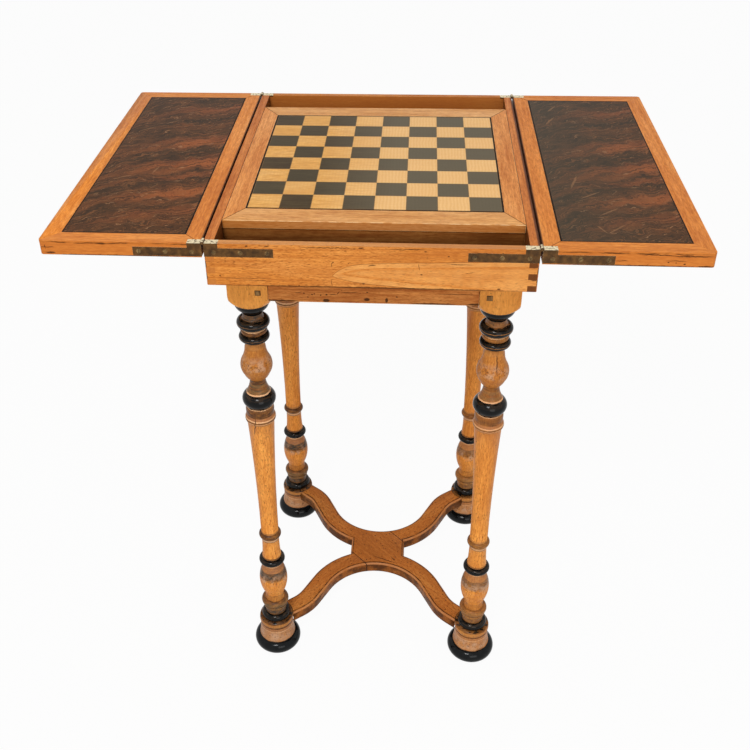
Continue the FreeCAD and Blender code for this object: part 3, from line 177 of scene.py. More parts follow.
def waxed_wood(name, grain, tones, gloss=0.38, worn="f2c084", wear=0.6, inside=None, upright_shade=None,
               wavy_edge=0.0, marked_face=None, gap_grime_and_shade=None, well_bottom_shade=None, **figure):
    """Fruitwood under worn wax: short pores, growth lines, old worm holes, paler arrises that are
    rubbed and carry a painted highlight.

    inside is the colour of the faces that look towards the middle of the table: older wood, and painted
    shade in the wells. upright_shade is a painted shade, the colour of all standing faces. wavy_edge is how
    strong the broken dark line just under the top arris is. marked_face is the y of a face and the marks on
    it. gap_grime_and_shade is the band along a leaf's gap, blackened by hands and grit and by painted shade:
    the distances from the middle of the table where that starts and where it is full. well_bottom_shade is
    the painted shade at the bottom of a well: the heights where it starts and where it is full.
    """
    material, tree, place, normal = start(name)
    colour, relief, growth = aged_wood(tree, place, normal, grain, tones, **figure)
    # Standing faces get a darker colour: painted shade.
    if upright_shade:
        level_face = put(tree, "Math", put(tree, "SeparateXYZ", normal).outputs["Z"], operation="ABSOLUTE")
        colour = put(tree, "Mix", put(tree, "MapRange", level_face, 0.5, 0.2, 0, 0.55), colour,
                     linear(upright_shade), data_type="RGBA")
    # Faces towards the middle of the table are painted darker: older wood, and painted shade inside the
    # wells.
    if inside:
        level = put(tree, "VectorMath", place, (1, 1, 0), operation="MULTIPLY")
        outward = put(tree, "VectorMath", level, normal, operation="DOT_PRODUCT")
        colour = put(tree, "Mix", put(tree, "MapRange", outward, -0.06, -0.12, 0, 0.8), colour,
                     linear(inside), data_type="RGBA")
    if wavy_edge:
        # The line wanders 1 to 3 mm below the top.
        ripple = put(tree, "TexNoise", Vector=place, Scale=per(30), Detail=4.0, Roughness=0.6)
        line = put(tree, "Math", ripple, 0.006, 0.7270, operation="MULTIPLY_ADD")
        drop = put(tree, "Math", line, put(tree, "SeparateXYZ", place).outputs["Z"], operation="SUBTRACT")
        near = put(tree, "MapRange", put(tree, "Math", drop, operation="ABSOLUTE"), 0.0011, 0.0003)
        forward = put(tree, "Math", put(tree, "SeparateXYZ", normal).outputs["Y"], operation="ABSOLUTE")
        there = put(tree, "Math", near, put(tree, "MapRange", forward, 0.8, 0.9), operation="MULTIPLY")
        broken = put(tree, "TexNoise", Vector=place, Scale=per(16), Detail=3.0)
        there = put(tree, "Math", there, put(tree, "MapRange", broken, 0.42, 0.55, 0.15, wavy_edge),
                    operation="MULTIPLY")
        colour = put(tree, "Mix", there, colour, linear("3c1f0d"), data_type="RGBA")
    # Cracks, dents and worm tracks; on the front apron also a painted shadow along its top, under the case.
    if marked_face:
        mark_amount = ellipse_marks(tree, place, *marked_face)
        colour = put(tree, "Mix", put(tree, "Math", mark_amount, 0.85, operation="MULTIPLY"), colour,
                     linear("2a160a"), data_type="RGBA")
        relief = put(tree, "Math", mark_amount, -1.5, relief, operation="MULTIPLY_ADD")
    # Painted shade, darker towards the bottom of a well.
    if well_bottom_shade:
        deep = put(tree, "MapRange", put(tree, "SeparateXYZ", place).outputs["Z"], *well_bottom_shade, 0, 0.7)
        colour = put(tree, "Mix", deep, colour, linear("2f1b0b"), data_type="RGBA")
    arris = put(tree, "Attribute", attribute_name="arris").outputs["Fac"]
    # Grime and painted shade in the gap beside a leaf, where the arris is not rubbed pale.
    if gap_grime_and_shade:
        spot = put(tree, "SeparateXYZ", place)
        sideways = put(tree, "Math", spot.outputs["X"], operation="ABSOLUTE")
        # It is full 4 mm below the table's top and has gone 10 mm below it.
        gap_darkening = put(tree, "Math", put(tree, "MapRange", sideways, *gap_grime_and_shade, 0, 0.85),
                    put(tree, "MapRange", spot.outputs["Z"], 0.722, 0.728), operation="MULTIPLY")
        colour = put(tree, "Mix", gap_darkening, colour, linear("35130a"), data_type="RGBA")
        arris = put(tree, "Math", arris, put(tree, "Math", 1.0, gap_darkening, operation="SUBTRACT"),
                    operation="MULTIPLY")
    # Paler arrises: rubbed wax, and a painted highlight line along the rounded edge.
    rub = put(tree, "TexNoise", Vector=place, Scale=per(9), Detail=2.0)
    rubbed = put(tree, "Math", arris, put(tree, "MapRange", rub, 0.36, 0.58, 0, wear), operation="MULTIPLY")
    colour = put(tree, "Mix", rubbed, colour, linear(worn), data_type="RGBA")
    joint = put(tree, "Math", put(tree, "Attribute", attribute_name="joint").outputs["Fac"], 0.65,
                operation="MULTIPLY")
    put(tree, "OutputMaterial", Surface=put(
        tree, "BsdfPrincipled", IOR=1.48, Specular_IOR_Level=0.07,
        Base_Color=put(tree, "Mix", joint, colour, linear("3a200f"), data_type="RGBA"),
        Roughness=put(tree, "MapRange", growth, 0.3, 0.7, gloss - 0.05, gloss + 0.1),
        Normal=put(tree, "Bump", Strength=0.4, Distance=0.0004, Height=relief)))
    return material


# The dark, middle and pale colours of each wood.
HONEY = ("cf7e33", "e08f3c", "ec9f4b")
LEAF_HONEY = ("d07a32", "dd8639", "e8964a")
CASE_HONEY = ("b96b2d", "ca7c34", "d88e46")
CASE_SIDE = ("b8682f", "cb7837", "d88744")
RUST = ("b5682f", "cb7e3e", "da9250")
SALMON = ("cc7a38", "dd8d46", "e79d58")
TAN = ("d18e4c", "dd9d5b", "e7ac6e")
RICH = ("a66027", "bd7030", "cd8640")
INSIDE = ("804c1f", "9a5f2b", "b07238")

# The leaves' front edges, by x and z: cracks under the top, worm holes, dark bands at the bottom and the
# ends.
LEAF_MARKS = [
    (-350, 724, 9, 0.5, 0), (-352, 724.5, 0.5, 3, 0), (-347, 717.5, 6, 1.2, 0), (-290, 730, 5, 0.9, 0),
    (335, 727.5, 24, 0.9, 1), (300, 728.5, 20, 0.7, -1), (252, 730, 16, 0.7, 0), (318, 722, 12, 0.4, 0),
    (310, 720, 1.1, 0.9, 0), (318, 719.5, 0.9, 0.8, 0), (327, 718.5, 1.2, 0.9, 0), (349, 716, 10, 1.0, 0),
    (290, 717, 0.8, 0.7, 0), (262, 721, 8, 0.4, 0), (-270, 715, 92, 1.2, 0), (270, 715, 92, 1.5, 0),
    (-358.7, 722, 1.2, 9, 0), (358.7, 722, 1.4, 9, 0)]
# Oiled pear rails of the leaves: close, orange, with hardly any pores.
# Their standing faces get a painted shade.
leaf_look = {"upright_shade": "b1642a", "figure": 0.34, "flecks": 0.3, "end_grain": 0.35}
leaf_wood = {"x": waxed_wood("oiled_pear_leaf_ends", "x", LEAF_HONEY, wear=0.35, wavy_edge=0.75, holes=0.12,
                             marked_face=(CASE_FRONT, LEAF_MARKS), **leaf_look),
             "y": waxed_wood("oiled_pear_leaf_sides", "y", LEAF_HONEY, wear=0.3, holes=0.15,
                             shift=(0.3, 0, 0), gap_grime_and_shade=(0.1827, 0.1815), **leaf_look)}
# The case: waxed pear, flecked, a shade browner; its inner faces are painted dark, for older wood and the
# shade inside the wells.
side_look = {"wear": 0.25, "figure": 0.45, "flecks": 0.4, "holes": 0.3, "inside": "4a2a14"}
case_wood = {"back": waxed_wood("waxed_pear_case_back", "x", CASE_HONEY, figure=0.5, flecks=0.55, holes=0.3,
                                inside="a9622b", end_grain=0.8),
             "left": waxed_wood("waxed_pear_case_left_side", "y", CASE_SIDE, end_grain=0.75,
                                end_tone="b87234", **side_look),
             "right": waxed_wood("waxed_pear_case_right_side", "y", CASE_SIDE, end_grain=0.85,
                                 gap_grime_and_shade=(0.1755, 0.1772), **side_look)}
# The aprons: redder, worm-eaten, less rubbed, with open worm tracks along the front one.
APRON_MARKS = [
    (-87, 635.6, 5, 0.5, 0), (-80.5, 635.4, 1.3, 0.9, 0), (-71, 633.4, 1.3, 0.9, 0), (-61, 633, 0.8, 1.6, 0),
    (-68.5, 634.6, 1.2, 0.9, 0), (-54.3, 634, 1.3, 1.0, 0), (-47, 634, 4.5, 0.6, 0), (-40.6, 636, 3, 0.6, 40),
    (-27, 637.3, 12, 0.5, 0), (-54.5, 626, 4.5, 3.0, 0), (-7, 628.5, 4.0, 2.6, 0), (16, 628, 2.0, 4.0, 0),
    (28, 632.8, 1.4, 1.0, 0), (-6.3, 638, 1.2, 0.9, 0), (99, 637.9, 25, 0.45, 0), (70, 624.5, 30, 1.2, 0),
    # The last mark is a painted shadow along the top, under the case.
    (-110, 624.5, 26, 1.4, 0), (120, 625, 12, 1.6, 0), (0, 681, 190, 3.0, 0)]
apron_look = {"figure": 0.6, "flecks": 0.6, "hole_mm": 14}
apron_wood = {"front": waxed_wood("worn_pear_front_apron", "x", RUST, holes=0.6,
                                  marked_face=(APRON_FRONT, APRON_MARKS), **apron_look),
              "back": waxed_wood("worn_pear_back_apron", "x", RUST, holes=0.75, **apron_look),
              "sides": waxed_wood("worn_pear_side_aprons", "y", RUST, holes=0.75, **apron_look)}
# Board frame: oiled cherry, the side rails a shade pinker than the end rails.
# The end rails' standing faces get a painted shade.
board_wood = {"x": waxed_wood("oiled_cherry_board_ends", "x", TAN, upright_shade="b0601c", figure=0.35,
                              flecks=0.3, holes=0.12, gloss=0.34, worn="f6cf98", wear=0.9),
              "y": waxed_wood("oiled_cherry_board_sides", "y", SALMON, figure=0.45, flecks=0.3, holes=0.3,
                              gloss=0.34)}
# Unfinished beech inside the wells, browned by age and dirt; the dividers take a painted shade towards the
# bottom of the wells.
inner_look = {"figure": 0.6, "flecks": 0.5, "holes": 0.2, "gloss": 0.5, "worn": "a9713c"}
inner_wood = {"x": waxed_wood("browned_beech_dividers", "x", INSIDE, well_bottom_shade=(0.724, 0.702), **inner_look),
              "y": waxed_wood("browned_beech_ledges", "y", INSIDE, **inner_look)}
# Oak pegs: end grain, dark and dirty.
peg_wood = waxed_wood("dirty_oak_pegs", "z", ("6e5230", "8a6a42", "a98a5a"), figure=0.4, flecks=0.8, holes=0,
                      gloss=0.5, worn="20150c", wear=0.95, dirt=0.3)
# Pine under the veneers and the floor of the wells: dry and dusty.
ground_wood = waxed_wood("dry_pine_grounds", "y", ("8c5f33", "a57645", "bb8c59"), figure=0.5, flecks=0.3,
                         holes=0.3, gloss=0.6, growth_mm=9)

# The case's front, by x and z: a split beside the tip of its crown cut, dents, lines under the top edge,
# brown finger joints, a painted shadow along the bottom, and dark strips down the corners.
CASE_FRONT_MARKS = [
    (-41.5, 686, 0.35, 6, 0), (-41.0, 709, 0.35, 2.6, 0), (-40, 711.5, 2.0, 0.8, 35),
    (52.2, 708.5, 0.4, 4.5, 8), (106, 702.6, 5.5, 0.4, 4), (-7.1, 686.6, 2.0, 0.8, 0),
    (138.2, 683.4, 2.2, 1.2, 0), (83, 721.8, 1.6, 0.7, 20), (58.6, 727, 1.8, 0.8, 0),
    (-9.4, 730, 3.5, 0.9, 0), (-23.2, 711.7, 0.6, 1.0, 0), (-77, 681.8, 1.2, 2.2, 0),
    (-137, 690.5, 33, 0.35, 0.4), (-120, 687.8, 18, 0.3, 0), (-45, 729.5, 34, 0.6, 0.4),
    (40, 729.2, 26, 0.5, 0), (120, 726.5, 14, 0.4, -3), (-132, 729.3, 2.0, 1.2, 0),
    (-110, 729.5, 3.0, 0.8, 0), (55, 699.5, 1.6, 0.8, 0), (95, 712.5, 16, 0.5, -2), (2, 709.0, 5, 0.8, 4),
    (-174, 712, 3.5, 2.8, 0), (-174.5, 699, 3, 3, 0), (-173, 684, 5, 2.4, 0), (174, 712.4, 4.3, 3.1, 0),
    (174, 697, 4.5, 3.2, 0), (174, 684.6, 4.8, 3.0, 0), (0, 681, 190, 2.0, 0), (-178.5, 700, 1.6, 22, 0),
    (178.5, 700, 1.6, 22, 0)]


def crown_cut_front():
    """Waxed pear case front with a crown cut: a pale pointed arch inside nested growth lines."""
    material, tree, place, normal = start("waxed_pear_case_front_crown_cut")
    colour, relief, growth = aged_wood(tree, place, normal, "x", CASE_HONEY, figure=0.4, flecks=0.8,
                                       holes=0.3, fibre_mm=1.2, hole_mm=16, end_grain=0.85)
    # Everything here is in millimetres from the tip of the arch, which opens to the right.
    wander = put(tree, "TexNoise", Vector=put(tree, "VectorMath", place, (1 / 5, 1, 1), operation="MULTIPLY"),
                 Scale=per(12), Detail=3.0)
    axes = put(tree, "SeparateXYZ", put(tree, "Mapping", place, (40.6, 0, -696.6), (0, 0, 0),
                                        (1000, 1000, 1000)))
    rise = put(tree, "Math", wander, 3.0, axes.outputs["Z"], operation="MULTIPLY_ADD")
    past = put(tree, "Math", axes.outputs["X"], 0.0, operation="MAXIMUM")
    short_of = put(tree, "Math", axes.outputs["X"], 0.0, operation="MINIMUM")
    opening = put(tree, "Math", put(tree, "Math", past, -1 / 12, operation="MULTIPLY"), operation="EXPONENT")
    above = put(tree, "Math", opening, 15.0, put(tree, "Math", past, -0.035, -15.0, operation="MULTIPLY_ADD"),
                operation="MULTIPLY_ADD")
    below = put(tree, "Math", opening, 5.0, put(tree, "Math", past, -0.09, -5.0, operation="MULTIPLY_ADD"),
                operation="MULTIPLY_ADD")
    outside = put(tree, "Math", put(tree, "Math", rise, above, operation="ADD"),
                  put(tree, "Math", below, rise, operation="SUBTRACT"), operation="MAXIMUM")
    outside = put(tree, "Math", short_of, -0.12, outside, operation="MULTIPLY_ADD")
    rings = put(tree, "ValToRGB", put(tree, "MapRange", outside, -10, 20), stops=[
        (0.0, linear("edb067", 0.35)), (0.12, linear("c87f3c", 0.3)), (0.15, linear("edb067", 0.4)),
        (0.305, linear("edb067", 0.45)), (0.333, linear("6b3715", 0.95)), (0.362, linear("c87f3c", 0.15)),
        (0.44, linear("a3602c", 0.45)), (0.47, linear("d98b40", 0.0)), (0.56, linear("a8652f", 0.4)),
        (0.60, linear("d98b40", 0.0)), (0.76, linear("a3602c", 0.3)), (0.82, linear("d98b40", 0.0))])
    broken = put(tree, "TexNoise", Vector=place, Scale=per(18), Detail=3.0)
    amount = put(tree, "Math", rings.outputs["Alpha"], put(tree, "MapRange", broken, 0.38, 0.6, 0.6, 1.0),
                 operation="MULTIPLY")
    colour = put(tree, "Mix", amount, colour, rings.outputs["Color"], data_type="RGBA")
    # The marks include a painted shadow along the bottom edge.
    mark_amount = ellipse_marks(tree, place, CASE_FRONT, CASE_FRONT_MARKS)
    colour = put(tree, "Mix", put(tree, "Math", mark_amount, 0.8, operation="MULTIPLY"), colour, linear("33190b"),
                 data_type="RGBA")
    # Its inner face is painted brown, for older wood and the shade inside the well, and the middle of its top
    # edge is rubbed grey and pale.
    facing = put(tree, "SeparateXYZ", normal)
    colour = put(tree, "Mix", put(tree, "MapRange", facing.outputs["Y"], 0.8, 0.95, 0, 0.8), colour,
                 linear("5a3417"), data_type="RGBA")
    colour = put(tree, "Mix", put(tree, "MapRange", facing.outputs["Z"], 0.8, 0.95, 0, 0.35), colour,
                 linear("d6a06c"), data_type="RGBA")
    # Paler arrises: rubbed wax, and a painted highlight line along the rounded edge.
    arris = put(tree, "Attribute", attribute_name="arris").outputs["Fac"]
    rubbed = put(tree, "Math", arris, put(tree, "MapRange", broken, 0.36, 0.58, 0.1, 0.7),
                 operation="MULTIPLY")
    put(tree, "OutputMaterial", Surface=put(
        tree, "BsdfPrincipled", IOR=1.48, Specular_IOR_Level=0.07,
        Base_Color=put(tree, "Mix", rubbed, colour, linear("e8b884"), data_type="RGBA"),
        Roughness=put(tree, "MapRange", growth, 0.3, 0.7, 0.33, 0.48),
        Normal=put(tree, "Bump", Strength=0.4, Distance=0.0004,
                   Height=put(tree, "Math", mark_amount, -1.5, relief, operation="MULTIPLY_ADD"))))
    return material


def chess_squares(name, tones, other, joint, painted_sheen, ripple, figure, flecks, varied, jointed):
    """Veneer squares under polish. Each leans a little to another colour, and their joints are tan.

    painted_sheen is a painted reflection: the paler colour of the sheen on the polish over the right half
    of the board. ripple, varied and jointed are how strong the ripple, the other colour and the joints are.
    """
    material, tree, place, normal = start(name)
    colour, relief, _ = aged_wood(tree, place, normal, "x", tones, figure=figure, flecks=flecks,
                                  holes=0.06, growth_mm=3, dirt=0.0, end_grain=0.0)
    # The board's middle is a corner of four squares.
    cell = put(tree, "VectorMath", place, (SQUARE, SQUARE, 1), operation="DIVIDE")
    own = put(tree, "TexWhiteNoise", put(tree, "VectorMath", cell, operation="FLOOR"))
    colour = put(tree, "Mix", put(tree, "Math", own, varied, operation="MULTIPLY"), colour, linear(other),
                 data_type="RGBA")
    # The painted sheen begins 70 mm left of the middle.
    sideways = put(tree, "SeparateXYZ", place).outputs["X"]
    colour = put(tree, "Mix", put(tree, "MapRange", sideways, -0.07, 0.02, 0, 0.8), colour, linear(painted_sheen),
                 data_type="RGBA")
    # A wave texture of scale 1 has waves 0.314 long. The ripple is drawn 4 mm wide.
    wave = put(tree, "TexWave", Vector=place, Scale=0.314 * per(4), Distortion=3.0, Detail=2.0)
    colour = put(tree, "Mix", put(tree, "Math", wave.outputs["Fac"], ripple, operation="MULTIPLY"), colour,
                 linear(tones[0]), data_type="RGBA")
    part = put(tree, "SeparateXYZ", put(tree, "VectorMath", cell, operation="FRACTION"))
    sides = [put(tree, "Math", put(tree, "Math", part.outputs[axis], 0.5, operation="SUBTRACT"),
                 operation="ABSOLUTE") for axis in "XY"]
    edge = put(tree, "MapRange", put(tree, "Math", *sides, operation="MAXIMUM"), 0.478, 0.490, 0, jointed)
    put(tree, "OutputMaterial", Surface=put(
        tree, "BsdfPrincipled", Roughness=0.33, IOR=1.5, Specular_IOR_Level=0.04,
        Base_Color=put(tree, "Mix", edge, colour, linear(joint), data_type="RGBA"),
        Normal=put(tree, "Bump", Strength=0.15, Distance=0.0002, Height=relief)))
    return material


def black_stringing():
    """Dyed pear stringing: brown-black lines, a little lighter where rubbed."""
    material, tree, place, _ = start("dyed_pear_stringing")
    smudge = put(tree, "TexNoise", Vector=place, Scale=per(5), Detail=3.0)
    colour = put(tree, "ValToRGB", smudge, stops=[
        (0.35, linear("140c05")), (0.6, linear("22150a")), (0.8, linear("3a260c"))])
    put(tree, "OutputMaterial", Surface=put(
        tree, "BsdfPrincipled", Base_Color=colour, IOR=1.5, Specular_IOR_Level=0.03,
        Roughness=put(tree, "MapRange", smudge, 0.3, 0.7, 0.35, 0.5)))
    return material


def flame_veneer(name, left_edge, reflected_haze, veins):
    """Figured walnut veneer: dark olive brown with red flames that sweep up and across the leaf."""
    material, tree, place, _ = start(name)
    moved = put(tree, "Mapping", place, (-left_edge, 0, 0))
    axes = put(tree, "SeparateXYZ", moved)
    across, along = axes.outputs["X"], axes.outputs["Y"]
    # The figure climbs steeply, lies nearly flat in mid leaf and climbs again.
    slope = put(tree, "Math", across, 50.0, -12.5, operation="MULTIPLY_ADD")
    slope = put(tree, "Math", across, slope, 1.2, operation="MULTIPLY_ADD")
    climb = put(tree, "Math", across, slope, operation="MULTIPLY")
    wander = put(tree, "TexNoise", Vector=moved, Scale=per(30), Detail=4.0, Roughness=0.62)
    level = put(tree, "Math", put(tree, "Math", wander, 0.05, -0.025, operation="MULTIPLY_ADD"),
                put(tree, "Math", along, climb, operation="SUBTRACT"), operation="ADD")
    lay = put(tree, "CombineXYZ", across, level)
    drawn_out = {times: put(tree, "VectorMath", lay, (1 / times, 1, 1), operation="MULTIPLY")
                 for times in (5, 7, 13)}
    fine = put(tree, "TexNoise", Vector=drawn_out[13], Scale=per(2.4), Detail=4.0, Roughness=0.65,
               Distortion=0.3)
    broad = put(tree, "TexNoise", Vector=drawn_out[5], Scale=per(9), Detail=3.0, Roughness=0.6)
    glint = put(tree, "TexNoise", Vector=drawn_out[7], Scale=per(3.0), Detail=2.0)
    # The veins are given by x and y, and scars are drawn on x and z.
    seen_from_above = put(tree, "CombineXYZ", across, put(tree, "SeparateXYZ", place).outputs["Z"], along)
    olive, umber, brown, rust, flame = [linear(c) for c in ("3c2a18", "4e331c", "633c21", "824827", "a35a2e")]
    colour = put(tree, "ValToRGB", put(tree, "MapRange", level, -0.27, 0.215), stops=[
        (0.02, umber), (0.10, brown), (0.13, rust), (0.17, umber), (0.20, brown), (0.235, flame),
        (0.275, brown), (0.31, olive), (0.335, rust), (0.36, brown), (0.40, flame), (0.435, rust),
        (0.462, olive), (0.50, umber), (0.535, flame), (0.575, rust), (0.61, umber), (0.68, brown),
        (0.72, olive), (0.765, brown), (0.80, rust), (0.84, umber), (0.92, olive), (1.0, umber)])
    # Brown to the left, clouds and fibres of both shades, glints, a grey painted reflection to the left, and
    # the light veins.
    for amount, shade in (
            (put(tree, "MapRange", across, 0.10, 0.02, 0, 0.75), "523620"),
            (put(tree, "MapRange", broad, 0.48, 0.62, 0, 0.7), "3a2918"),
            (put(tree, "MapRange", broad, 0.42, 0.30, 0, 0.6), "844b27"),
            (put(tree, "MapRange", fine, 0.49, 0.38, 0, 0.7), "2a1d13"),
            (put(tree, "MapRange", fine, 0.54, 0.66, 0, 0.6), "9c6238"),
            (put(tree, "MapRange", glint, 0.63, 0.70, 0, 0.55), "b5835a"),
            (put(tree, "MapRange", across, 0.15, 0.0, 0.1 * reflected_haze, reflected_haze), "49463a"),
            (put(tree, "Math", ellipse_marks(tree, seen_from_above, TABLE_TOP, veins), 0.3, operation="MULTIPLY"),
             "b5845a")):
        colour = put(tree, "Mix", amount, colour, linear(shade), data_type="RGBA")
    put(tree, "OutputMaterial", Surface=put(
        tree, "BsdfPrincipled", Base_Color=colour, Roughness=0.36, IOR=1.5, Specular_IOR_Level=0.03,
        Normal=put(tree, "Bump", Strength=0.15, Distance=0.0002, Height=fine)))
    return material


# Light veins in each veneer, from its left edge: short lines along the figure, and a V at the right's front.
LEFT_VEINS = [
    (30, 172, 13, 0.9, 50), (52, 118, 12, 0.8, 40), (22, 90, 14, 1.0, 42), (40, 30, 15, 0.8, 25),
    (64, -44, 12, 1.4, 78), (28, -66, 14, 0.9, 30), (52, -172, 13, 0.9, 24)]
RIGHT_VEINS = [
    (28, 180, 14, 1.6, 60), (22, 136, 16, 1.6, 62), (40, 30, 18, 1.0, 24), (30, -62, 20, 1.6, 72),
    (44, -98, 18, 1.4, 38), (46, -184, 11, 1.1, -63), (62, -182, 17, 1.1, 45), (60, -140, 18, 1.2, 40)]


# Cracks and dents in the top of the stretcher, by x and y.
HUB_CRACKS = [(11.8, -28.2, 24, 0.9, -21), (28.7, 9.1, 2.2, 1.2, 0), (18.2, 30.0, 2.2, 1.0, -40),
              (26.6, -26.8, 3.6, 1.2, -45), (-5.2, 24.6, 1.8, 1.0, -40), (8, 2, 2.0, 0.9, -45)]


def foot_polished_arms(grain):
    """Cross stretcher arms of pear: speckled, polished by feet, rubbed pinkish on the rounded edges."""
    material, tree, place, normal = start("foot_polished_pear_" + grain + "_arms")
    colour, relief, growth = aged_wood(tree, place, normal, grain, RICH, figure=0.25, flecks=1.0, holes=0.45,
                                       fibre_mm=1.1, hole_mm=5)
    # Up the rounded edge, which is 5 mm high: the side painted darker, a rubbed strip, and a dark line that
    # is the painted shade of a small groove.
    spot = put(tree, "SeparateXYZ", place)
    edge = put(tree, "ValToRGB", put(tree, "MapRange", spot.outputs["Z"], 0.0522, 0.0572), stops=[
        (0.0, linear("3f2311", 0.85)), (0.3, linear("4a2b16", 0.8)), (0.52, linear("c48a5e", 0.6)),
        (0.84, linear("c48a5e", 0.45)), (0.89, linear("2c170a", 0.85)), (0.978, linear("2c170a", 0.85)),
        (0.992, linear("2c170a", 0.0))])
    worn = put(tree, "TexNoise", Vector=place, Scale=per(14), Detail=3.0)
    amount = put(tree, "Math", edge.outputs["Alpha"], put(tree, "MapRange", worn, 0.36, 0.56, 0.45, 1.0),
                 operation="MULTIPLY")
    colour = put(tree, "Mix", amount, colour, edge.outputs["Color"], data_type="RGBA")
    # The halved joint shows as a line across the root of each rising arm, 38.8 mm from the middle.
    across = put(tree, "SeparateXYZ", put(tree, "Mapping", place, (0, 0, 0), ALONG["rising"])).outputs["X"]
    away = put(tree, "Math", put(tree, "Math", across, operation="ABSOLUTE"), 0.0388, operation="SUBTRACT")
    seam = put(tree, "MapRange", put(tree, "Math", away, operation="ABSOLUTE"), 0.0008, 0.0004, 0, 0.9)
    seen_from_above = put(tree, "CombineXYZ", spot.outputs["X"], spot.outputs["Z"], spot.outputs["Y"])
    crack = put(tree, "Math", ellipse_marks(tree, seen_from_above, STRETCHER_TOP, HUB_CRACKS), 0.85,
                operation="MULTIPLY")
    put(tree, "OutputMaterial", Surface=put(
        tree, "BsdfPrincipled", IOR=1.48, Specular_IOR_Level=0.07,
        Base_Color=put(tree, "Mix", put(tree, "Math", seam, crack, operation="MAXIMUM"), colour,
                       linear("2c170a"), data_type="RGBA"),
        Roughness=put(tree, "MapRange", growth, 0.3, 0.7, 0.28, 0.42),
        Normal=put(tree, "Bump", Strength=0.4, Distance=0.0004, Height=relief)))
    return material


stretcher_wood = {"upper": foot_polished_arms("falling"), "lower": foot_polished_arms("rising")}


# ---------------------------------------------------------------- turned legs

# What is left of the stain on the turnings: a colour and how much it covers.
# The pale gold on the square blocks is no stain: it is painted light against the case's shadow.
STAIN = {"bare": ("d98b3f", 0.0), "painted_light": ("f4a84a", 0.35), "mottle": ("70431f", 0.5),
         "cream": ("e6bb90", 0.65), "tan": ("8f6136", 0.65), "blush": ("a27758", 0.72),
         "rose": ("8b5f44", 0.75), "smoke": ("543823", 0.82), "olive": ("5f4a30", 0.85),
         "brown": ("3f2716", 0.85), "grey": ("35322c", 0.87), "black": ("090a0a", 1.0)}
# Where each stain starts, in millimetres above the floor.
LOW_BANDS = [(0, "black"), (20.8, "brown"), (22.3, "blush"), (40, "cream"), (41.2, "rose"), (46.2, "brown"),
             (48.2, "smoke"), (50, "tan"), (56, "brown"), (57.4, "black"), (69.5, "smoke"), (70.6, "grey"),
             (78, "smoke"), (80, "olive"), (84.3, "brown"), (87, "olive"), (94, "smoke"), (97.5, "mottle"),
             (108, "bare"), (142, "tan"), (145, "smoke"), (148, "grey"), (157, "rose"), (166.5, "cream"),
             (168, "black"), (181.5, "smoke"), (184, "bare"), (214.8, "brown"), (216.4, "cream"),
             (219.6, "brown"), (230.5, "tan"), (233, "bare")]
# From 611 mm up, the square blocks get painted light.
HIGH_BANDS = [(420, "bare"), (430, "tan"), (433, "cream"), (434.2, "smoke"), (437, "cream"), (438.2, "rose"),
              (441.5, "brown"), (452.5, "smoke"), (454.5, "cream"), (456, "black"), (476.5, "cream"),
              (478, "olive"), (483, "smoke"), (487, "olive"), (491, "brown"), (497, "smoke"), (499, "mottle"),
              (545, "tan"), (553, "brown"), (556, "black"), (560.3, "grey"), (561.3, "black"), (566, "brown"),
              (572.5, "cream"), (574.5, "black"), (581, "grey"), (582.2, "black"), (587.5, "grey"),
              (595, "black"), (611, "painted_light")]
LOW_REACH, HIGH_REACH, MIDDLE_OF_SHAFT = (0, 240), (420, 640), 330
# Middle and half height of the vase, the drum and the bulb, where the polish has gone.
CRESTS = [(524, 13), (32, 12), (146, 12)]
# Splits in the front legs: one through the left leg's collars, one down the right leg's vase.
SPLITS = [(-152.5, 429, 0.9, 17, -8), (150.5, 537, 0.8, 18, 3)]


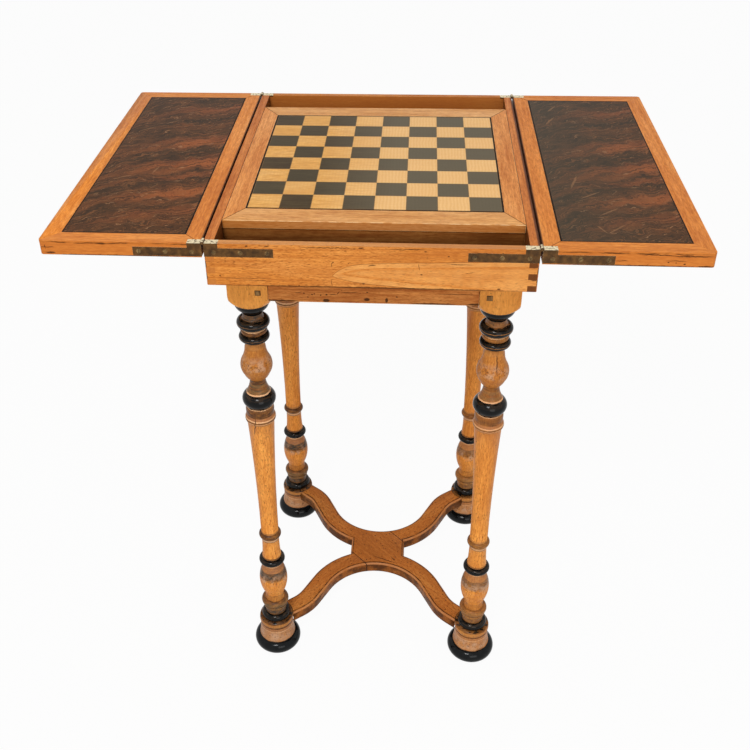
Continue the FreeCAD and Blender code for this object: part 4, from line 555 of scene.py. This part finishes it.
def turned_wood():
    """Turned pear legs with ebonised rings: their stain is worn brown and cream along the rings' edges."""
    material, tree, place, normal = start("turned_pear_with_ebonised_rings")
    colour, relief, _ = aged_wood(tree, place, normal, "z", HONEY, figure=0.28, flecks=0.8, holes=0.4,
                                  hole_mm=8, end_grain=0.0, dirt=0.9)
    spot = put(tree, "SeparateXYZ", place)
    height = spot.outputs["Z"]
    tremble = put(tree, "TexNoise", Vector=place, Scale=per(5), Detail=2.0)
    level = put(tree, "Math", tremble, 0.0016, put(tree, "Math", height, 0.0008, operation="SUBTRACT"),
                operation="MULTIPLY_ADD")
    ramps = []
    for bands, (low, high) in ((LOW_BANDS, LOW_REACH), (HIGH_BANDS, HIGH_REACH)):
        ramp = put(tree, "ValToRGB", put(tree, "MapRange", level, low * MM, high * MM), stops=[
            ((z - low) / (high - low), linear(*STAIN[stain])) for z, stain in bands])
        ramp.color_ramp.interpolation = "CONSTANT"
        ramps.append(ramp)
    upper = put(tree, "Math", height, MIDDLE_OF_SHAFT * MM, operation="GREATER_THAN")
    tint = put(tree, "Mix", upper, ramps[0], ramps[1], data_type="RGBA")
    cover = put(tree, "Mix", upper, ramps[0].outputs["Alpha"], ramps[1].outputs["Alpha"])
    # Rubbing in the lathe leaves the stain in thin level streaks.
    streaks = put(tree, "TexNoise", Vector=put(tree, "VectorMath", place, (1, 1, 5), operation="MULTIPLY"),
                  Scale=per(9), Detail=4.0, Roughness=0.65)
    cloud = put(tree, "TexNoise", Vector=place, Scale=per(11), Detail=3.0)
    patchy = put(tree, "Math", cover, put(tree, "MapRange", streaks, 0.36, 0.62, 1.15, 0.8),
                 operation="MULTIPLY")
    # The right legs are paler than the left ones.
    patchy = put(tree, "Math", patchy, put(tree, "MapRange", spot.outputs["X"], -0.1, 0.1, 1.05, 0.82),
                 operation="MULTIPLY")
    held = put(tree, "MapRange", cover, 0.9, 0.95)
    stained = put(tree, "Mix", put(tree, "Math", patchy, held, operation="MAXIMUM"), colour, tint,
                  data_type="RGBA")
    topside = put(tree, "MapRange", put(tree, "SeparateXYZ", normal).outputs["Z"], 0.3, 0.75)
    worn = put(tree, "Math", topside, put(tree, "MapRange", streaks, 0.45, 0.6, 0, 0.35),
               operation="MULTIPLY")
    worn = put(tree, "Math", worn, held, operation="MULTIPLY")
    stained = put(tree, "Mix", worn, stained, linear("5c4630"), data_type="RGBA")
    # The polish has gone from the crests of the vases and drums, which are dry and pinkish.
    pits = put(tree, "MapRange", put(tree, "TexNoise", Vector=place, Scale=per(2.4), Detail=2.0),
               0.56, 0.66, 0, 0.75)
    for crest, half in CRESTS:
        away = put(tree, "Math", height, crest * MM, operation="SUBTRACT")
        near = put(tree, "MapRange", put(tree, "Math", away, operation="ABSOLUTE"),
                   half * MM, 0.2 * half * MM, 0, 1)
        dry = put(tree, "Math", near, put(tree, "MapRange", cloud, 0.45, 0.6, 0, 0.6), operation="MULTIPLY")
        stained = put(tree, "Mix", dry, stained, linear("c79f80"), data_type="RGBA")
        stained = put(tree, "Mix", put(tree, "Math", near, pits, operation="MULTIPLY"), stained,
                      linear("5f3d22"), data_type="RGBA")
    split = ellipse_marks(tree, place, LEG_FRONT, SPLITS, deep=12)
    stained = put(tree, "Mix", put(tree, "Math", split, 0.85, operation="MULTIPLY"), stained,
                  linear("2a160a"), data_type="RGBA")
    put(tree, "OutputMaterial", Surface=put(
        tree, "BsdfPrincipled", Base_Color=stained, IOR=1.5, Specular_IOR_Level=0.15,
        Roughness=put(tree, "MapRange", cover, 0.8, 1.0, 0.42, 0.12),
        Normal=put(tree, "Bump", Strength=0.3, Distance=0.0003, Height=relief)))
    return material


def ebonised_foot():
    """Ebonised bun feet: black polish with scuffs near the floor."""
    material, tree, place, _ = start("polished_ebonised_feet")
    scuff = put(tree, "TexNoise", Vector=place, Scale=per(6), Detail=4.0, Roughness=0.65)
    colour = put(tree, "ValToRGB", scuff, stops=[
        (0.35, linear("08090a")), (0.6, linear("101214")), (0.8, linear("2c2a25"))])
    put(tree, "OutputMaterial", Surface=put(
        tree, "BsdfPrincipled", Base_Color=colour, IOR=1.5, Specular_IOR_Level=0.15,
        Roughness=put(tree, "MapRange", scuff, 0.3, 0.7, 0.11, 0.15)))
    return material


# ---------------------------------------------------------------- metal

def old_metal(name, dark, mid, light, rubbed, wear):
    """Tarnished metal: a dull brown skin, rubbed to pale metal on top and along the edges."""
    material, tree, place, normal = start(name)
    cloud = put(tree, "TexNoise", Vector=place, Scale=per(8), Detail=5.0, Roughness=0.6)
    colour = put(tree, "ValToRGB", cloud, stops=[
        (0.32, linear(dark)), (0.52, linear(mid)), (0.78, linear(light))])
    nook = put(tree, "AmbientOcclusion", Distance=0.003, samples=4).outputs["AO"]
    colour = put(tree, "Mix", put(tree, "MapRange", nook, 0.7, 0.3, 0, 0.8), colour, linear("160e07"),
                 data_type="RGBA")
    top = put(tree, "MapRange", put(tree, "SeparateXYZ", normal).outputs["Z"], 0.6, 0.9)
    arris = put(tree, "Attribute", attribute_name="arris").outputs["Fac"]
    bare = put(tree, "Math", top, put(tree, "Math", arris, 0.6, operation="MULTIPLY"), operation="MAXIMUM")
    scratch = put(tree, "TexNoise", Vector=place, Scale=per(3.0), Detail=3.0)
    bare = put(tree, "Math", bare, put(tree, "MapRange", scratch, 0.34, 0.5, 0, wear), operation="MULTIPLY")
    put(tree, "OutputMaterial", Surface=put(
        tree, "BsdfPrincipled", Specular_IOR_Level=0.2,
        Base_Color=put(tree, "Mix", bare, colour, linear(rubbed), data_type="RGBA"),
        Metallic=put(tree, "MapRange", bare, 0, 1, 0.15, 0.75),
        Roughness=put(tree, "MapRange", cloud, 0.3, 0.7, 0.34, 0.52),
        Normal=put(tree, "Bump", Strength=0.2, Distance=0.0002, Height=cloud)))
    return material


strap_brass = old_metal("tarnished_brass_straps", "38230c", "533717", "755026", "efdfb8", 0.95)
screw_brass = old_metal("rubbed_brass_screws", "3f2e18", "6b512e", "a88a58", "d9c494", 0.8)
old_steel = old_metal("rusted_steel_screws", "35261b", "4e3a2a", "6b5a48", "8d8272", 0.5)
turned_legs = turned_wood()
black_feet = ebonised_foot()
# Maple, yellowed under polish, with a fine ripple both ways; pear stained black, gone grey and olive.
# Both kinds of square get a painted sheen over the right half of the board.
maple = chess_squares("polished_maple_squares", ("e0a04e", "ebb060", "f2c07a"), other="d99f55",
                      joint="a0703a", painted_sheen="f5c688", ripple=0.3, figure=0.3, flecks=0.2, varied=0.5,
                      jointed=0.25)
black_pear = chess_squares("faded_ebonised_squares", ("3c2d16", "4a381d", "584427"), other="4a4532",
                           joint="8a6a40", painted_sheen="6a604c", ripple=0.05, figure=0.5, flecks=0.0, varied=0.55,
                           jointed=0.55)
stringing = black_stringing()
case_front_wood = crown_cut_front()


# ---------------------------------------------------------------- pieces

def on_a_mitre(face):
    """Whether a rounded arris runs slantwise, as the mitres of the frames do."""
    longest = max(face.edges, key=lambda edge: edge.calc_length())
    way = longest.verts[1].co - longest.verts[0].co
    return min(abs(way.x), abs(way.y)) > 0.3 * way.length


def rounded(node, body, material, edge_mm, shortest_mm=8, smooth_from=None, dark_joint=None):
    """The node's solid with its triangles joined and its long arrises rounded over.

    dark_joint tells which of the rounded arrises are joints, which hold grit.
    """
    shape = bmesh.new()
    shape.from_mesh(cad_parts[node].data)
    bmesh.ops.remove_doubles(shape, verts=shape.verts, dist=0.01 * MM)
    bmesh.ops.dissolve_limit(shape, angle_limit=math.radians(0.4), verts=shape.verts, edges=shape.edges)
    arrises = [e for e in shape.edges if len(e.link_faces) == 2 and e.is_convex
               and e.calc_face_angle(0) > math.radians(50) and e.calc_length() > shortest_mm * MM]
    arris = shape.faces.layers.float.new("arris")
    joint = shape.faces.layers.float.new("joint")
    made = bmesh.ops.bevel(shape, geom=arrises, offset=edge_mm * MM, affect="EDGES", segments=2, profile=0.5,
                           material=-1, clamp_overlap=True)
    for face in made["faces"]:
        face[joint if dark_joint and dark_joint(face) else arris] = 1.0
    mesh = bpy.data.meshes.new(node + "_finished")
    shape.to_mesh(mesh)
    shape.free()
    if smooth_from:
        mesh.shade_smooth()
        mesh.set_sharp_from_angle(angle=math.radians(smooth_from))
    piece = bpy.data.objects.new(node + "_finished", mesh)
    bpy.context.scene.collection.objects.link(piece)
    mesh.materials.append(material)
    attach(piece, body)
    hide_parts(node)


def finish(node, material):
    """Gives a node of the frame its finish."""
    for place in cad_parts[node].material_slots:
        place.material = material


for end in FRONT_AND_BACK:
    rounded("case_" + end, "stand", case_front_wood if end == "front" else case_wood["back"], edge_mm=0.7)
    rounded(end + "_divider", "stand", inner_wood["x"], edge_mm=0.6)
    rounded(end + "_apron", "stand", apron_wood[end], edge_mm=0.8)
    rounded("board_rail_" + end, "board", board_wood["x"], edge_mm=0.5, dark_joint=on_a_mitre)
for side in LEFT_AND_RIGHT:
    rounded("case_" + side, "stand", case_wood[side], edge_mm=0.7)
    rounded("board_ledge_" + side, "stand", inner_wood["y"], edge_mm=0.5)
    rounded(side + "_apron", "stand", apron_wood["sides"], edge_mm=0.8)
    rounded("board_rail_" + side, "board", board_wood["y"], edge_mm=0.5, dark_joint=on_a_mitre)
    leaf = side + "_leaf"
    for rail, grain in (("front", "x"), ("back", "x"), ("inner", "y"), ("outer", "y")):
        rounded(leaf + "_rail_" + rail, leaf, leaf_wood[grain], edge_mm=0.8, dark_joint=on_a_mitre)
    finish(leaf + "_panel", ground_wood)
    finish(leaf + "_stringing", stringing)
    finish(leaf + "_hinge_screws", screw_brass)
    for end in FRONT_AND_BACK:
        rounded(leaf + "_hinge_plate_" + end, leaf, strap_brass, edge_mm=0.25, shortest_mm=3)
left_veneer = flame_veneer("flame_walnut_left_leaf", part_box("left_leaf_burl")[0].x, 0.0, LEFT_VEINS)
right_veneer = flame_veneer("flame_walnut_right_leaf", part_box("right_leaf_burl")[0].x, 0.5, RIGHT_VEINS)
finish("left_leaf_burl", left_veneer)
finish("right_leaf_burl", right_veneer)
for corner in CORNERS:
    rounded("leg_" + corner, "stand", turned_legs, edge_mm=0.8, shortest_mm=20, smooth_from=38)
    rounded("foot_" + corner, "stand", black_feet, edge_mm=0.3, shortest_mm=20, smooth_from=38)
    rounded("case_hinge_plate_" + corner, "stand", strap_brass, edge_mm=0.25, shortest_mm=3)
for layer in ("upper", "lower"):
    rounded("stretcher_" + layer, "stand", stretcher_wood[layer], edge_mm=0.4, shortest_mm=20, smooth_from=30)
rounded("apron_pegs", "stand", peg_wood, edge_mm=0.9, shortest_mm=3)
finish("case_bottom", ground_wood)
finish("board_core", ground_wood)
finish("case_hinge_screws", screw_brass)
finish("hinge_pins", screw_brass)
finish("stand_screws", old_steel)
finish("board_stringing", stringing)
finish("dark_squares", black_pear)
finish("light_squares", maple)


# ---------------------------------------------------------------- floor, light and camera

def plainly_seen(tree, amount):
    """How much plain white takes a shader's place for the camera and for reflections."""
    rays = put(tree, "LightPath")
    seen = put(tree, "Math", rays.outputs["Is Camera Ray"], rays.outputs["Is Glossy Ray"],
               operation="MAXIMUM")
    seen = put(tree, "Math", seen, rays.outputs["Is Transmission Ray"], operation="MAXIMUM")
    return put(tree, "Math", seen, amount, operation="MULTIPLY")


floor_shape = bmesh.new()
bmesh.ops.create_grid(floor_shape, x_segments=1, y_segments=1, size=12)
floor_mesh = bpy.data.meshes.new("floor")
floor_shape.to_mesh(floor_mesh)
floor_shape.free()
floor = bpy.data.objects.new("floor", floor_mesh)
bpy.context.scene.collection.objects.link(floor)
paper = bpy.data.materials.new("white_paper_floor")
paper.use_nodes = True
paper.node_tree.nodes.clear()
put(paper.node_tree, "OutputMaterial", Surface=put(
    paper.node_tree, "MixShader", plainly_seen(paper.node_tree, 0.95),
    put(paper.node_tree, "BsdfDiffuse", linear("d8d8d6")),
    put(paper.node_tree, "Emission", (1, 1, 1, 1), 1.0)))
floor_mesh.materials.append(paper)

world = bpy.data.worlds.new("studio")
bpy.context.scene.world = world
world.use_nodes = True
world.node_tree.nodes.clear()
put(world.node_tree, "OutputWorld", Surface=put(
    world.node_tree, "MixShader", plainly_seen(world.node_tree, 1.0),
    put(world.node_tree, "Background", (1, 1, 1, 1), 0.58),
    # As pale as the far floor, so that no horizon shows.
    put(world.node_tree, "Background", (1, 1, 1, 1), 0.97)))


def soft_lamp(name, place, aim, power, size):
    """A square area lamp that looks at a point."""
    lamp = bpy.data.lights.new(name, "AREA")
    lamp.energy = power
    lamp.size = size
    holder = bpy.data.objects.new(name, lamp)
    bpy.context.scene.collection.objects.link(holder)
    holder.location = place
    holder.rotation_euler = (Vector(aim) - Vector(place)).to_track_quat("-Z", "Y").to_euler()


soft_lamp("key_over_left_front", (-0.45, -1.9, 2.6), (0, 0, 0.5), 36, 0.7)
soft_lamp("low_fill_front", (0.7, -2.3, 0.9), (0, 0, 0.45), 13, 1.2)

lens = bpy.data.cameras.new("camera")
lens.sensor_width = 36
lens.lens = 47.334
lens.shift_x = 0.0412
lens.shift_y = -0.0298
lens.clip_start = 0.05
camera = bpy.data.objects.new("camera", lens)
camera.location = (0.04648, -1.15457, 1.22266)
camera.rotation_euler = [math.radians(a) for a in (55.8747, 0.9264, 4.0875)]
bpy.context.scene.collection.objects.link(camera)
bpy.context.scene.camera = camera
bpy.context.scene.view_settings.view_transform = "Standard"
